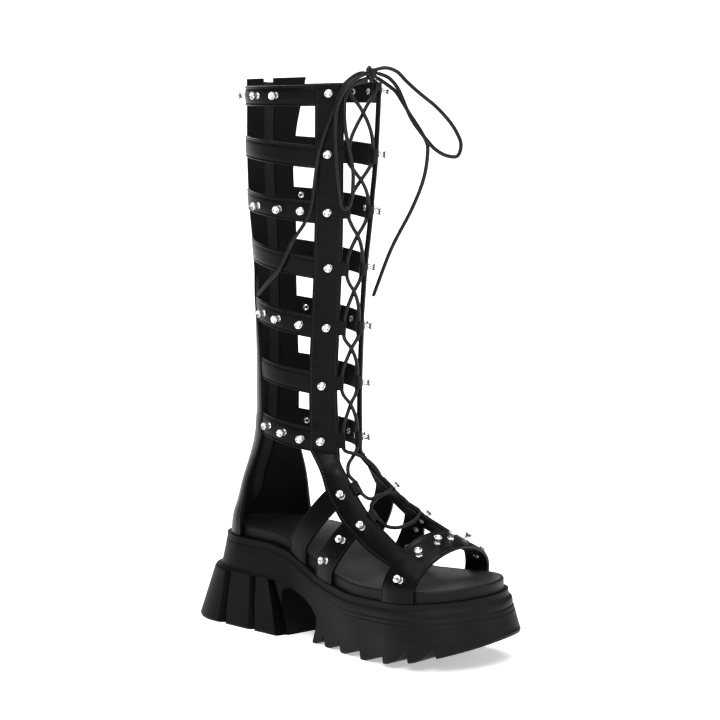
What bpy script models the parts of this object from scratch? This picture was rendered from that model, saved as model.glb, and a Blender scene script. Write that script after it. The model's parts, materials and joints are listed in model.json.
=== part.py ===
"""Knee-high gladiator boot on a platform sole: one left shoe, in metres, +Z up, toe towards -Y.

The wearer's left is +X, so the outer (lateral) side is +X and the inner (medial) side is -X. The
origin is under the middle of the boot, on the floor. The sizes below are in millimetres, and their
y is measured from the shaft's axis, forward negative. AXIS_Y places that axis in the frame.
"""

import math
from collections import namedtuple

import bmesh
import bpy
from mathutils import Matrix, Vector

MM = 0.001
AXIS_X = -2.3  # puts the middle of the width at x = 0
AXIS_Y = 43.5  # puts the middle of the sole's length at y = 0
GAP = 0.3  # running gap between pieces that touch

# ---------------------------------------------------------------- driving sizes, in millimetres
HEEL_HEIGHT = 75.0  # floor to the top of the insole's rim at the heel
BALL_HEIGHT = 52.6  # the same at the ball
TOE_RISE = 7.5  # further rise of the rim from the ball to the toe tip
TOE_SPRING = 20.0  # height of the tread under the toe tip
FLEX_SKEW = 20.0  # degrees that the line the toe curls up from is turned, inner side forward
RIM_HEIGHT = 8.0  # height of the wrapped rim of the insole
LEATHER = 2.2  # wall of the straps
OVERLAY = 0.9  # what the eyestays and the back panel stand proud of the straps
LACE = 2.5  # diameter of the round lace
LACE_STEP = 9.0  # distance between the points of a lace's route
TAPE = 1.4  # thickness of the zip's tape

HEEL_CENTRE_Y, HEEL_RADIUS = 36.5, 31.3  # the heel end of the rim is this arc
TOE_CENTRE_X, TOE_CENTRE_Y, TOE_RADIUS = 5.2, -131.5, 46.0  # and the toe end is this one

# Half widths of the rim between the two arcs, from the foot's centre line.
Width = namedtuple("Width", "y inner outer")
WAIST = [
    Width(36.5, 31.3, 31.3),
    Width(10.0, 31.0, 32.4),
    Width(-12.0, 31.0, 34.0),
    Width(-40.0, 32.4, 37.8),
    Width(-66.0, 35.8, 43.0),
    Width(-100.0, 40.2, 49.6),
    Width(-131.5, 40.8, 51.2),
]

# Height of the top of the rim along the foot.
Height = namedtuple("Height", "y z")
FOOTBED = [
    Height(71.0, HEEL_HEIGHT),
    Height(10.0, HEEL_HEIGHT),
    Height(-12.0, HEEL_HEIGHT - 3.0),
    Height(-32.0, HEEL_HEIGHT - 10.5),
    Height(-48.0, HEEL_HEIGHT - 16.5),
    Height(-66.0, BALL_HEIGHT + 2.6),
    Height(-90.0, BALL_HEIGHT),
    Height(-125.0, BALL_HEIGHT),
]

# Levels of the sole's side, from the top down. "drop" is measured below the rim and "rise" above the
# tread, and the columns after them say how far the wall stands outside the rim at the heel, the
# breast, the waist, the ball and the toe tip. "back" moves the whole heel end rearwards.
Level = namedtuple("Level", "drop rise back heel breast waist ball toe")
SIDE_LEVELS = [
    Level(RIM_HEIGHT + GAP, None, 1.8, 5.8, 4.6, 3.4, 3.2, 3.2),
    Level(13.0, None, 2.0, 6.0, 4.7, 3.6, 3.4, 3.8),
    Level(13.6, None, 2.2, 6.3, 5.0, 4.1, 4.4, 6.2),
    Level(17.6, None, 2.6, 6.6, 5.2, 4.3, 4.6, 7.0),
    Level(18.6, None, 2.8, 6.4, 5.0, 3.8, 4.0, 6.6),
    Level(19.8, None, 3.0, 6.8, 5.3, 4.1, 4.6, 7.8),
    Level(32.5, None, 6.4, 7.2, 6.2, 3.0, 4.0, 12.3),
    Level(33.5, None, 11.6, 8.4, 6.4, 2.9, 3.9, 12.7),
    Level(None, 2.0, 27.3, 10.3, 8.4, 1.4, 2.9, 14.2),
    Level(None, 0.0, 27.1, 9.4, 7.6, 0.8, 2.2, 13.6),
]
COLUMN_Y = [37.0, -9.0, -41.0, -105.0, -177.0]  # where those five columns hold

# ---------------------------------------------------------------- the upper's form
# Rings of the shaft: height of the ring's middle, half width, half depth, the y of its middle and
# its tilt (rise per millimetre towards the back). All are taken on the inside of the leather. Each
# ring is an ellipse whose front is drawn out at the throat and pressed in behind the eyestays,
# because those stay flat: "throat" and "stay" are the half angles of both from the front, and
# "drawn" and "pressed" the ring's reach there as a share of the ellipse's. "sag" is how far the
# ring hangs lower on the outer side, and "trail" how much more of that it does towards the back.
Ring = namedtuple("Ring", "height half_width half_depth centre_y tilt throat stay drawn pressed sag trail")
SHAFT = [
    Ring(407.0, 45.2, 49.4, -2.2, -0.050, 18.1, 41.7, 1.105, 0.982, 0.0, 0.00),
    Ring(394.0, 45.0, 49.0, -2.0, -0.045, 17.9, 41.5, 1.108, 0.984, 0.0, 0.00),
    Ring(354.0, 44.4, 48.0, -1.0, 0.070, 16.9, 40.5, 1.098, 0.968, 5.7, 0.10),
    Ring(315.0, 42.8, 46.0, -0.5, 0.090, 15.0, 39.8, 1.088, 0.940, 4.3, 0.05),
    Ring(277.0, 38.6, 42.4, 0.3, 0.170, 13.5, 40.6, 1.094, 0.938, 7.2, 0.33),
    Ring(234.0, 34.9, 40.2, 1.0, 0.178, 14.3, 43.8, 1.098, 0.956, 6.3, 0.34),
    Ring(193.0, 32.8, 39.6, 1.7, 0.175, 15.6, 46.4, 1.088, 0.972, 6.3, 0.59),
    Ring(151.0, 31.5, 41.0, 2.5, 0.190, 14.6, 46.9, 1.098, 0.982, 6.7, 0.77),
    Ring(143.0, 31.5, 41.2, 2.6, 0.190, 14.2, 46.6, 1.100, 0.983, 6.7, 0.77),
]

# The straps round the shaft, at the middle of their rings.
Band = namedtuple("Band", "name top bottom")
BANDS = [
    Band("collar_band", 401.0, 386.4),
    Band("band_2", 362.3, 346.6),
    Band("band_3", 322.8, 307.6),
    Band("band_4", 284.8, 269.4),
    Band("band_5", 242.2, 225.8),
    Band("band_6", 200.9, 184.7),
    Band("band_7", 160.2, 143.0),
]
BACK_TOP = 406.0  # the back panel stands a little above the collar band

# Sections of the foot: the point on the instep, the point between the two rim points, how far the
# rim points are skewed (inner side forward), and the half angles of the lace throat and the eyestay.
Section = namedtuple("Section", "name front_y front_z side_y side_z skew throat stay")
FOOT = [
    Section("ankle", -45.4, 131.0, -7.0, 108.0, 0.0, 18.0, 43.2),
    Section("side_strap_1_rear", -54.0, 125.4, -15.7, 74.0, 0.0, 21.7, 45.4),
    Section("side_strap_1_front", -69.6, 115.0, -33.6, 68.0, 0.0, 27.0, 51.0),
    Section("side_strap_2_rear", -79.0, 108.6, -46.6, 62.5, 0.0, 29.4, 53.4),
    Section("side_strap_2_front", -93.4, 100.4, -66.3, 54.6, 0.0, 31.6, 54.0),
    Section("vamp", -108.6, 93.4, -92.0, 52.0, 3.0, 34.0, 57.5),
    Section("toe_strap_rear", -125.4, 87.2, -117.0, 52.6, 7.3, 40.0, 63.0),
    Section("toe_strap_front", -149.4, 79.0, -142.0, 54.0, 9.7, 40.0, 63.0),
]
TOE_STRAP_REAR = -125.0  # the eyestays run on to here and join the toe strap
ROUND_FROM = 75.0  # from this angle on, a ring of the shaft is its plain ellipse

# Sections of the counter, from the last band down to the sole: half width, half depth to the back
# and the y of the middle.
Counter = namedtuple("Counter", "height half_width half_depth centre_y")
COUNTER = [
    Counter(143.0, 31.5, 41.2, 2.6),
    Counter(134.0, 30.7, 38.4, 8.0),
    Counter(124.0, 30.0, 35.8, 14.6),
    Counter(108.0, 30.2, 33.0, 24.6),
    Counter(92.0, 31.0, 31.4, 31.0),
    Counter(77.0, 32.2, 32.2, 35.6),
    Counter(67.4, 32.3, 32.3, 36.5),
]

# Half angles from the back that the back panel covers on each side, and the counter below it. On
# the inner side the counter's wing starts higher up.
Cover = namedtuple("Cover", "height inner outer")
COVER = [
    Cover(407.0, 32.0, 33.0),
    Cover(386.0, 32.3, 33.0),
    Cover(364.0, 32.8, 28.6),
    Cover(335.0, 33.6, 26.0),
    Cover(296.0, 35.0, 28.3),
    Cover(262.0, 36.0, 28.8),
    Cover(245.0, 44.0, 29.6),
    Cover(222.0, 62.0, 31.4),
    Cover(180.0, 68.0, 35.0),
    Cover(143.0, 69.0, 38.0),
    Cover(134.0, 69.0, 42.0),
    Cover(124.0, 70.0, 51.0),
    Cover(108.0, 72.0, 66.0),
    Cover(92.0, 77.0, 76.0),
    Cover(77.0, 84.0, 84.0),
    Cover(67.4, 86.0, 86.0),
]
ZIP_HALF = 5.0  # half width of the opening that the zip closes
ZIP_FOOT = 92.0  # the zip ends at this height

# ---------------------------------------------------------------- studs, lace and zip
# Half profile of a spool stud: (radius, height) from its head down to its flange.
STUD_PROFILE = [(0.0, 7.2), (2.9, 6.4), (1.9, 2.0), (2.8, 0.0), (0.0, 0.0)]
# Studs on each side of the shaft's bands: the angle from the front, and how far the stud stands
# above the middle of the band. The rearmost ones are left to the dressed model.
BandStud = namedtuple("BandStud", "band angle above")
BAND_STUDS = [
    BandStud("collar_band", 28.8, 1.3),
    BandStud("collar_band", 76.0, 0.4),
    BandStud("collar_band", 97.0, 0.4),
    BandStud("band_2", 28.3, 3.4),
    BandStud("band_3", 26.7, 1.7),
    BandStud("band_3", 53.1, 0.7),
    BandStud("band_3", 73.3, -0.3),
    BandStud("band_3", 98.0, -1.0),
    BandStud("band_4", 24.5, 3.0),
    BandStud("band_5", 26.0, 2.2),
    BandStud("band_5", 56.0, 0.6),
    BandStud("band_5", 80.0, 0.7),
    BandStud("band_5", 102.0, 0.4),
    BandStud("band_6", 30.7, 0.0),
    BandStud("band_7", 33.0, 0.9),
    BandStud("band_7", 56.0, -0.5),
    BandStud("band_7", 76.0, 0.3),
]
# Studs over the foot: the strap, how far each stands from its rear edge (0) to its front edge (1),
# and its angle. Those of the side straps stand on both sides.
FootStud = namedtuple("FootStud", "strap share angle")
SIDE_STUDS = [
    FootStud("side_strap_1", 0.81, 38.6),
    FootStud("side_strap_2", 0.97, 43.5),
    FootStud("side_strap_2", 0.66, 62.1),
    FootStud("side_strap_2", 0.51, 84.0),
]
TOE_STUDS = [FootStud("toe_strap", 0.56, angle) for angle in (-73.6, -39.0, -14.2, 4.6, 29.4, 64.0)]

# The slider: the foot of its outer plate, and the pull's hinge pin measured from there.
SLIDER_FOOT = (0.0, 50.6, 386.0)
PULL_PIN = (0.0, 3.8, 6.0)

KNOT = (8.0, -57.0, 407.5)
KNOT_HALF = (5.0, 3.8, 5.1)

# Routes of the bow, each from the knot outwards.
LACE_ROUTES = {
    "lace_loop_inner": [
        (5.0, -57.0, 413.0), (-9.0, -67.0, 414.5), (-19.5, -67.5, 410.0), (-23.0, -64.5, 401.5),
        (-24.0, -63.0, 391.0), (-20.5, -60.0, 375.0), (-15.5, -59.0, 356.5), (-11.5, -58.5, 343.0),
        (-10.5, -57.0, 325.5), (-13.0, -55.5, 315.0), (-15.5, -54.0, 312.0), (-19.0, -54.0, 320.0),
        (-23.0, -55.0, 339.0), (-24.5, -55.0, 355.5), (-25.5, -55.5, 371.0), (-24.0, -57.5, 386.5),
        (-20.0, -61.5, 397.0), (-13.5, -65.0, 402.5), (2.5, -60.0, 409.0),
    ],
    "lace_loop_outer": [
        (10.0, -57.5, 413.5), (13.0, -60.5, 415.5), (19.5, -67.0, 414.5), (28.0, -74.5, 404.5),
        (43.5, -88.0, 387.0), (52.5, -95.5, 372.0), (56.0, -99.0, 358.5), (54.0, -97.0, 351.0),
        (50.5, -94.0, 350.5), (43.5, -88.0, 354.5), (37.5, -83.0, 362.5), (30.5, -76.5, 375.5),
        (24.5, -71.5, 389.5), (17.5, -65.5, 404.0), (12.5, -60.5, 410.0),
    ],
    "lace_end_inner": [
        (3.0, -59.5, 403.5), (-14.5, -60.0, 399.0), (-21.0, -56.0, 394.0), (-24.0, -52.5, 386.5),
        (-27.5, -49.0, 373.0), (-30.5, -44.0, 355.5), (-30.5, -40.0, 338.5), (-31.5, -38.0, 321.5),
        (-33.0, -36.0, 311.0), (-36.0, -30.5, 299.5), (-38.5, -23.5, 290.0), (-41.0, -14.5, 272.0),
        (-42.0, -1.0, 259.5), (-39.5, 13.0, 249.0),
    ],
    "lace_end_outer": [
        (13.0, -58.5, 405.0), (24.0, -65.0, 398.0), (31.0, -71.5, 383.0), (39.0, -78.5, 364.5),
        (41.5, -79.5, 354.5), (43.0, -74.0, 334.5), (42.0, -62.5, 311.5), (37.5, -45.5, 281.5),
        (34.5, -29.5, 246.0),
    ],
}

LEATHER_BLACK = (0.016, 0.016, 0.017, 1.0)
SOLE_BLACK = (0.014, 0.014, 0.015, 1.0)
LACE_BLACK = (0.012, 0.012, 0.013, 1.0)
CHROME = (0.62, 0.61, 0.60, 1.0)


# ---------------------------------------------------------------- small tools
def smooth_value(points, at):
    """The value at one place of a smooth curve through (place, value) pairs, held flat past both ends."""
    points = sorted(points)
    if at <= points[0][0]:
        return points[0][1]
    if at >= points[-1][0]:
        return points[-1][1]
    last = len(points) - 1
    k = max(i for i in range(last) if points[i][0] <= at)
    steps = [(b[1] - a[1]) / (b[0] - a[0]) for a, b in zip(points, points[1:])]

    def slope(i):
        if i in (0, last):
            return steps[0] if i == 0 else steps[-1]
        before, after = steps[i - 1], steps[i]
        return 0.0 if before * after <= 0 else 2 * before * after / (before + after)

    (a, low), (b, high) = points[k], points[k + 1]
    t, span = (at - a) / (b - a), b - a
    rest = 1 - t
    from_low = low * (1 + 2 * t) + slope(k) * span * t
    from_high = high * (1 + 2 * rest) - slope(k + 1) * span * rest
    return from_low * rest**2 + from_high * t**2


def read_table(rows, key, column, at):
    return smooth_value([(getattr(row, key), getattr(row, column)) for row in rows], at)


def place(x, y, z):
    """A point given from the shaft's axis in millimetres, as a point of the model in metres."""
    return Vector((x + AXIS_X, y + AXIS_Y, z)) * MM


def material(name, colour, roughness, metallic=0.0):
    made = bpy.data.materials.new(name)
    made.use_nodes = True
    made.diffuse_color = colour
    shader = made.node_tree.nodes["Principled BSDF"]
    shader.inputs["Base Color"].default_value = colour
    shader.inputs["Roughness"].default_value = roughness
    shader.inputs["Metallic"].default_value = metallic
    return made


def add_object(name, data, finish, collection):
    made = bpy.data.objects.new(name, data)
    collection.objects.link(made)
    data.materials.append(finish)
    return made


def mesh_from(build, name):
    """A mesh filled by build(bm), with its doubles merged and its faces turned outwards."""
    bm = bmesh.new()
    build(bm)
    bmesh.ops.remove_doubles(bm, verts=bm.verts, dist=0.00001)
    bmesh.ops.recalc_face_normals(bm, faces=bm.faces)
    mesh = bpy.data.meshes.new(name)
    bm.to_mesh(mesh)
    bm.free()
    return mesh


def add_cutter(name, build, collection):
    made = bpy.data.objects.new(name, mesh_from(build, name))
    collection.objects.link(made)
    made.hide_render = True
    made.display_type = "WIRE"
    return made


def cut(target, cutter):
    modifier = target.modifiers.new("cut_" + cutter.name, "BOOLEAN")
    modifier.operation = "DIFFERENCE"
    modifier.object = cutter


# ---------------------------------------------------------------- the outline of the foot
def toe_curl(x, y):
    """How far along the toe's curl a point is, from 0 behind the ball to 1 at the tip."""
    skew = math.radians(FLEX_SKEW)
    ahead = x * math.sin(skew) - y * math.cos(skew)
    curl_start, curl_end = 82.0, 178.5
    return max(0.0, (ahead - curl_start) / (curl_end - curl_start)) ** 1.6


def rim_height(x, y):
    return read_table(FOOTBED, "y", "z", y) + TOE_RISE * toe_curl(x, y)


def tread_height(x, y):
    """Height of the tread: on the floor from the heel to the ball, then curling up to the toe."""
    return TOE_SPRING * toe_curl(x, y)


ARC_STEPS, SIDE_STEPS = 8, 13


def half_outline(side):
    """Points of the rim's half outline, heel to toe, on the inner (-1) or outer (+1) side."""
    column = "inner" if side < 0 else "outer"
    points = []
    for i in range(ARC_STEPS):
        turn = math.pi / 2 * i / ARC_STEPS
        points.append((side * HEEL_RADIUS * math.sin(turn), HEEL_CENTRE_Y + HEEL_RADIUS * math.cos(turn)))
    for i in range(SIDE_STEPS):
        y = HEEL_CENTRE_Y + (TOE_CENTRE_Y - HEEL_CENTRE_Y) * i / SIDE_STEPS
        points.append((side * read_table(WAIST, "y", column, y), y))
    for i in range(ARC_STEPS + 1):
        turn = math.pi / 2 * i / ARC_STEPS
        x = TOE_CENTRE_X + side * TOE_RADIUS * math.cos(turn)
        points.append((x, TOE_CENTRE_Y - TOE_RADIUS * math.sin(turn)))
    return points


def rim_x(side, y):
    """How far the rim stands from the axis at one y, on one side."""
    if y < TOE_CENTRE_Y:
        reach = math.sqrt(max(TOE_RADIUS**2 - (y - TOE_CENTRE_Y) ** 2, 0.0))
        return TOE_CENTRE_X + side * reach
    return side * read_table(WAIST, "y", "inner" if side < 0 else "outer", y)


def grown_outline(side, level):
    """The half outline moved out by one level's columns: (x, y, y on the rim) for each point."""
    rim = half_outline(side)
    offsets = list(zip(COLUMN_Y, (level.heel, level.breast, level.waist, level.ball, level.toe)))
    points = []
    for i, (x, y) in enumerate(rim):
        before, after = rim[max(i - 1, 0)], rim[min(i + 1, len(rim) - 1)]
        along_x, along_y = after[0] - before[0], after[1] - before[1]
        if i in (0, len(rim) - 1):
            along_x, along_y = side, 0.0
        length = math.hypot(along_x, along_y)
        facing = side if i < len(rim) - 1 else -side
        out_x, out_y = -along_y / length * facing, along_x / length * facing
        offset = smooth_value(offsets, y)
        back = level.back * min(max(y / HEEL_CENTRE_Y, 0.0), 1.0) ** 1.5
        if i in (0, len(rim) - 1):
            out_x, out_y = 0.0, 1.0 if i == 0 else -1.0
        points.append((x + out_x * offset, y + out_y * offset + back, y))
    return points


def loft_levels(bm, levels, height_of):
    """A closed body through the outlines of the levels, capped at its top and bottom.

    The cap's faces run straight across the foot, so they follow the arch and the toe spring."""
    rows = []
    for level in levels:
        halves = []
        for side in (-1, 1):
            points = grown_outline(side, level)
            corners = [place(x, y, height_of(level, x, y, rim_y)) for x, y, rim_y in points]
            halves.append([bm.verts.new(corner) for corner in corners])
        rows.append(halves)
    for upper, lower in zip(rows, rows[1:]):
        for half in (0, 1):
            for i in range(len(upper[half]) - 1):
                corners = (upper[half][i], upper[half][i + 1], lower[half][i + 1], lower[half][i])
                bm.faces.new(corners)
    for inner, outer in (rows[0], rows[-1]):
        last = len(inner) - 2
        for i in range(last + 1):
            if i == 0:
                bm.faces.new((inner[0], inner[1], outer[1]))
            elif i == last:
                bm.faces.new((inner[i], inner[i + 1], outer[i]))
            else:
                bm.faces.new((inner[i], inner[i + 1], outer[i + 1], outer[i]))


# ---------------------------------------------------------------- insole and outsole
def make_insole(collection, finish):
    """The footbed: a thick wrapped board whose top edge is rounded over."""
    rounding = 1.6
    levels = [
        Level(0.0, None, 0.0, -rounding, -rounding, -rounding, -rounding, -rounding),
        Level(rounding, None, 0.0, 0.0, 0.0, 0.0, 0.0, 0.0),
        Level(RIM_HEIGHT, None, 0.0, 0.0, 0.0, 0.0, 0.0, 0.0),
    ]

    def height_of(level, x, y, rim_y):
        return rim_height(x, rim_y) - level.drop

    mesh = mesh_from(lambda bm: loft_levels(bm, levels, height_of), "insole")
    return add_object("insole", mesh, finish, collection)


def profile_prism(outline, half_width):
    """A builder for a prism that runs across the foot, with the (y, z) outline on both its ends."""

    def build(bm):
        near = [bm.verts.new(place(-half_width, y, z)) for y, z in outline]
        far = [bm.verts.new(place(half_width, y, z)) for y, z in outline]
        bm.faces.new(near)
        bm.faces.new(reversed(far))
        for i in range(len(outline)):
            k = (i + 1) % len(outline)
            bm.faces.new((near[i], near[k], far[k], far[i]))

    return build


def arch_outline():
    """The opening between the heel and the forefoot, seen from the side."""
    heel_front, heel_top = -9.6, 38.5
    block_foot, block_top = -39.0, 20.0
    return [
        (heel_front, -2.0),
        (heel_front - 1.0, heel_top - 4.0),
        (heel_front - 4.0, heel_top),
        (-22.0, 36.6),
        (-32.0, 32.6),
        (-41.0, 26.6),
        (-46.4, block_top),
        (-46.0, 14.0),
        (block_foot, -2.0),
    ]


TOOTH_TIPS = [-39.0, -56.5, -77.0, -102.5, -129.5, -154.0, -172.5]
TIP_FLAT, TOOTH_DEPTH = 4.5, 9.5
INNER_EDGE = -40.0  # the x at which the teeth follow the tread


def tooth_outlines():
    """One outline for each notch of the sawtooth tread: a scoop that ends in a steep wall."""
    outlines = []
    for tip, after in zip(TOOTH_TIPS, TOOTH_TIPS[1:]):
        start, wall = tip - TIP_FLAT, after + 0.8
        floor, top = tread_height(INNER_EDGE, start), tread_height(INNER_EDGE, after) + TOOTH_DEPTH
        bend_y, bend_z = start + 0.55 * (wall - start), floor + 0.34 * (top - floor)
        outlines.append([(start, floor - 3.0), (start, floor - 0.2), (bend_y, bend_z), (wall, top),
                         (wall - 0.6, tread_height(INNER_EDGE, after) - 3.0)])
    return outlines


# Grooves between the heel's lobes: where each cuts the wall at the ledge and at the floor.
Groove = namedtuple("Groove", "side top_x top_y foot_x foot_y turn")
GROOVES = [
    Groove(-1, 38.5, 21.0, 41.5, 21.0, 90.0),
    Groove(-1, 39.0, 48.0, 41.8, 54.0, 94.0),
    Groove(-1, 24.0, 74.0, 29.0, 91.5, 142.0),
    Groove(-1, 37.6, 2.0, 36.0, -10.8, 66.0),
    Groove(1, 39.2, 21.0, 42.5, 21.0, 90.0),
    Groove(1, 39.2, 48.0, 42.0, 54.0, 94.0),
    Groove(1, 24.0, 74.0, 29.0, 91.5, 142.0),
    Groove(1, 0.0, 85.6, 0.0, 103.5, 180.0),
    Groove(1, 40.4, 2.0, 39.0, -10.8, 66.0),
]
GROOVE_HALF, GROOVE_DEPTH = 3.2, 6.2


def groove_wedge(bm, groove):
    """A V-shaped bar that leans along the wall from the ledge to the floor."""
    turn = math.radians(groove.turn)
    out = Vector((groove.side * math.sin(turn), -math.cos(turn), 0.0))
    across = Vector((-out.y, out.x, 0.0))
    ends = []
    for x, y, z, widen in ((groove.top_x, groove.top_y, HEEL_HEIGHT - 34.4, 0.8),
                           (groove.foot_x, groove.foot_y, -1.0, 1.2)):
        wall = Vector((groove.side * x, y, z))
        corners = (wall - out * GROOVE_DEPTH, wall + out * 6 + across * GROOVE_HALF * widen * 2.4,
                   wall + out * 6 - across * GROOVE_HALF * widen * 2.4)
        ends.append([bm.verts.new(place(*corner)) for corner in corners])
    top, foot = ends
    bm.faces.new(top)
    bm.faces.new(reversed(foot))
    for i in range(3):
        k = (i + 1) % 3
        bm.faces.new((top[i], top[k], foot[k], foot[i]))


def make_outsole(collection, cutters, finish):
    """One moulded unit: two side steps, a flared heel of lobes, an arch and a sawtooth tread."""

    def height_of(level, x, y, rim_y):
        if level.rise is None:
            return rim_height(x, rim_y) - level.drop
        return tread_height(x, y) + level.rise

    mesh = mesh_from(lambda bm: loft_levels(bm, SIDE_LEVELS, height_of), "outsole")
    outsole = add_object("outsole", mesh, finish, collection)
    cut(outsole, add_cutter("arch_cutter", profile_prism(arch_outline(), 90.0), cutters))
    for number, outline in enumerate(tooth_outlines(), 1):
        cut(outsole, add_cutter(f"tooth_cutter_{number}", profile_prism(outline, 90.0), cutters))
    for number, groove in enumerate(GROOVES, 1):
        wedge = add_cutter(f"groove_cutter_{number}", lambda bm, g=groove: groove_wedge(bm, g), cutters)
        cut(outsole, wedge)
    return outsole


# ---------------------------------------------------------------- the form of the upper
# A row is one closed section: three points in the plane of symmetry, the two rim points and the
# half angles of the throat, the eyestay and, for each side, the back panel.
Row = namedtuple("Row", "front side back inner outer skew throat stay panel drawn pressed sag trail")


def shaft_row(height):
    """The row of the form round the shaft whose middle is at one height."""
    half_width = read_table(SHAFT, "height", "half_width", height)
    half_depth = read_table(SHAFT, "height", "half_depth", height)
    centre = read_table(SHAFT, "height", "centre_y", height)
    rise = read_table(SHAFT, "height", "tilt", height) * half_depth
    return Row(
        front=(centre - half_depth, height - rise),
        side=(centre, height),
        back=(centre + half_depth, height + rise),
        inner=half_width,
        outer=half_width,
        skew=0.0,
        throat=read_table(SHAFT, "height", "throat", height),
        stay=read_table(SHAFT, "height", "stay", height),
        panel=tuple(180.0 - read_table(COVER, "height", side, height) for side in ("inner", "outer")),
        drawn=read_table(SHAFT, "height", "drawn", height),
        pressed=read_table(SHAFT, "height", "pressed", height),
        sag=read_table(SHAFT, "height", "sag", height),
        trail=read_table(SHAFT, "height", "trail", height),
    )


def foot_row(section):
    """The row of the form over the foot, whose rim points stand just outside the insole."""
    clear = 2 * GAP
    if section.name == "ankle":
        inner = outer = 32.6
    else:
        inner = clear - rim_x(-1, section.side_y - section.skew)
        outer = clear + rim_x(1, section.side_y + section.skew)
    return Row(
        front=(section.front_y, section.front_z),
        side=(section.side_y, section.side_z),
        back=(section.side_y, section.side_z),
        inner=inner,
        outer=outer,
        skew=section.skew,
        throat=section.throat,
        stay=section.stay,
        panel=(90.0, 90.0),
        drawn=1.0,
        pressed=1.0,
        sag=0.0,
        trail=0.0,
    )


def blend_rows(a, b, t):
    def mix(p, q):
        if isinstance(p, tuple):
            return tuple(mix(u, v) for u, v in zip(p, q))
        return p + (q - p) * t

    return Row(*(mix(p, q) for p, q in zip(a, b)))


def sagged(row, across, ahead):
    return row.sag * (1 + across) / 2 * (1 - row.trail * ahead)


def form_point(row, angle):
    """The point of a row at an angle in degrees: 0 at the front, positive on the outer side."""
    turn = math.radians(angle)
    reach = smooth_value([(row.throat, row.drawn), (row.stay, row.pressed), (ROUND_FROM, 1.0)], abs(angle))
    across, ahead = math.sin(turn) * reach, math.cos(turn) * reach
    end = row.front if ahead >= 0 else row.back
    middle = (row.outer - row.inner) / 2
    half = (row.outer + row.inner) / 2
    x = middle + half * across
    y = row.side[0] + abs(ahead) * (end[0] - row.side[0]) + row.skew * across
    z = row.side[1] + abs(ahead) * (end[1] - row.side[1])
    return x, y, z - sagged(row, across, ahead)


def counter_point(height, angle):
    """A point of the counter, by its height and its angle from the back, positive outwards."""
    turn = math.radians(angle)
    x = read_table(COUNTER, "height", "half_width", height) * math.sin(turn)
    depth = read_table(COUNTER, "height", "half_depth", height) * math.cos(turn)
    above = shaft_row(COUNTER[0].height)
    lift = (above.back[1] - above.side[1]) * math.cos(turn) - sagged(above, math.sin(turn), -math.cos(turn))
    blend = min(max((height - 100.0) / 43.0, 0.0), 1.0)
    return x, read_table(COUNTER, "height", "centre_y", height) + depth, height + lift * blend


SIDE_CELLS, STAY_CELLS, PANEL_CELLS = 10, 2, 5
STEP_DEGREES = 1.2  # width of the step from a strap up to an overlay


def column_angles(row, side):
    """The angles of a shaft row's columns on one side, front to back."""
    edge = row.panel[0] if side < 0 else row.panel[1]
    stay = span(row.throat, row.stay, STAY_CELLS)
    first, last = row.stay + STEP_DEGREES, edge - STEP_DEGREES
    middle = span(first, last, SIDE_CELLS)
    zip_angle = 180.0 - math.degrees(math.asin(ZIP_HALF / row.inner))
    panel = span(edge, zip_angle, PANEL_CELLS)
    return stay, middle, panel


class Shell:
    """Quads of the upper's inner surface, with the share of the full wall that each corner has."""

    def __init__(self):
        self.bm = bmesh.new()
        self.weight = self.bm.verts.layers.deform.verify()
        self.corners = {}

    def corner(self, x, y, z, proud):
        key = (round(x, 3), round(y, 3), round(z, 3))
        if key not in self.corners:
            vert = self.bm.verts.new(place(x, y, z))
            vert[self.weight][0] = (LEATHER + (OVERLAY if proud else 0.0)) / (LEATHER + OVERLAY)
            self.corners[key] = vert
        return self.corners[key]

    def grid(self, side, lines):
        """Quads between neighbouring lines of (x, y, z, proud), which run from the front outwards."""
        for upper, lower in zip(lines, lines[1:]):
            for i in range(len(upper) - 1):
                corners = [self.corner(*p) for p in (upper[i], upper[i + 1], lower[i + 1], lower[i])]
                if side > 0:
                    corners.reverse()
                unique = [c for k, c in enumerate(corners) if c is not corners[k - 1]]
                self.bm.faces.new(unique)


def row_line(row, side, angles, proud):
    return [(*form_point(row, side * angle), proud) for angle in angles]


def span(start, end, cells):
    return [start + (end - start) * i / cells for i in range(cells + 1)]


def band_edges():
    """The heights of every shaft row: both edges of each band, and rows between them."""
    heights = []
    for band, after in zip(BANDS, BANDS[1:] + [None]):
        heights += [band.top, band.bottom]
        if after:
            heights += span(band.bottom, after.top, 3)[1:3]
    return heights


def shaft_shell(shell, side):
    """The bands, the eyestay and the back panel of one side of the shaft."""
    rows = [shaft_row(height) for height in band_edges()]
    parts = [column_angles(row, side) for row in rows]
    shell.grid(side, [row_line(row, side, stay, True) for row, (stay, _, _) in zip(rows, parts)])
    shell.grid(side, [row_line(row, side, panel, True) for row, (_, _, panel) in zip(rows, parts)])
    for band in BANDS:
        edges = [shaft_row(band.top), shaft_row(band.bottom)]
        lines = []
        for row in edges:
            stay, middle, panel = column_angles(row, side)
            line = [(*form_point(row, side * stay[-1]), True)]
            line += row_line(row, side, middle, False)
            line.append((*form_point(row, side * panel[0]), True))
            lines.append(line)
        shell.grid(side, lines)
    collar = shaft_row(BANDS[0].top)
    panel = column_angles(collar, side)[2]
    raised = shaft_row(BACK_TOP)
    shell.grid(side, [row_line(raised, side, panel, True), row_line(collar, side, panel, True)])


def foot_rows():
    """The rows from the last band to the front of the toe strap, with rows between the sections."""
    last, ankle, first = shaft_row(BANDS[-1].bottom), foot_row(FOOT[0]), foot_row(FOOT[1])
    rows = [last, blend_rows(last, ankle, 0.5), ankle, blend_rows(ankle, first, 0.5), first]
    for a, b in zip(FOOT[1:], FOOT[2:]):
        rows += [between(a.name, b.name, t) for t in (0.5, 1.0)]
    return rows


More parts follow.
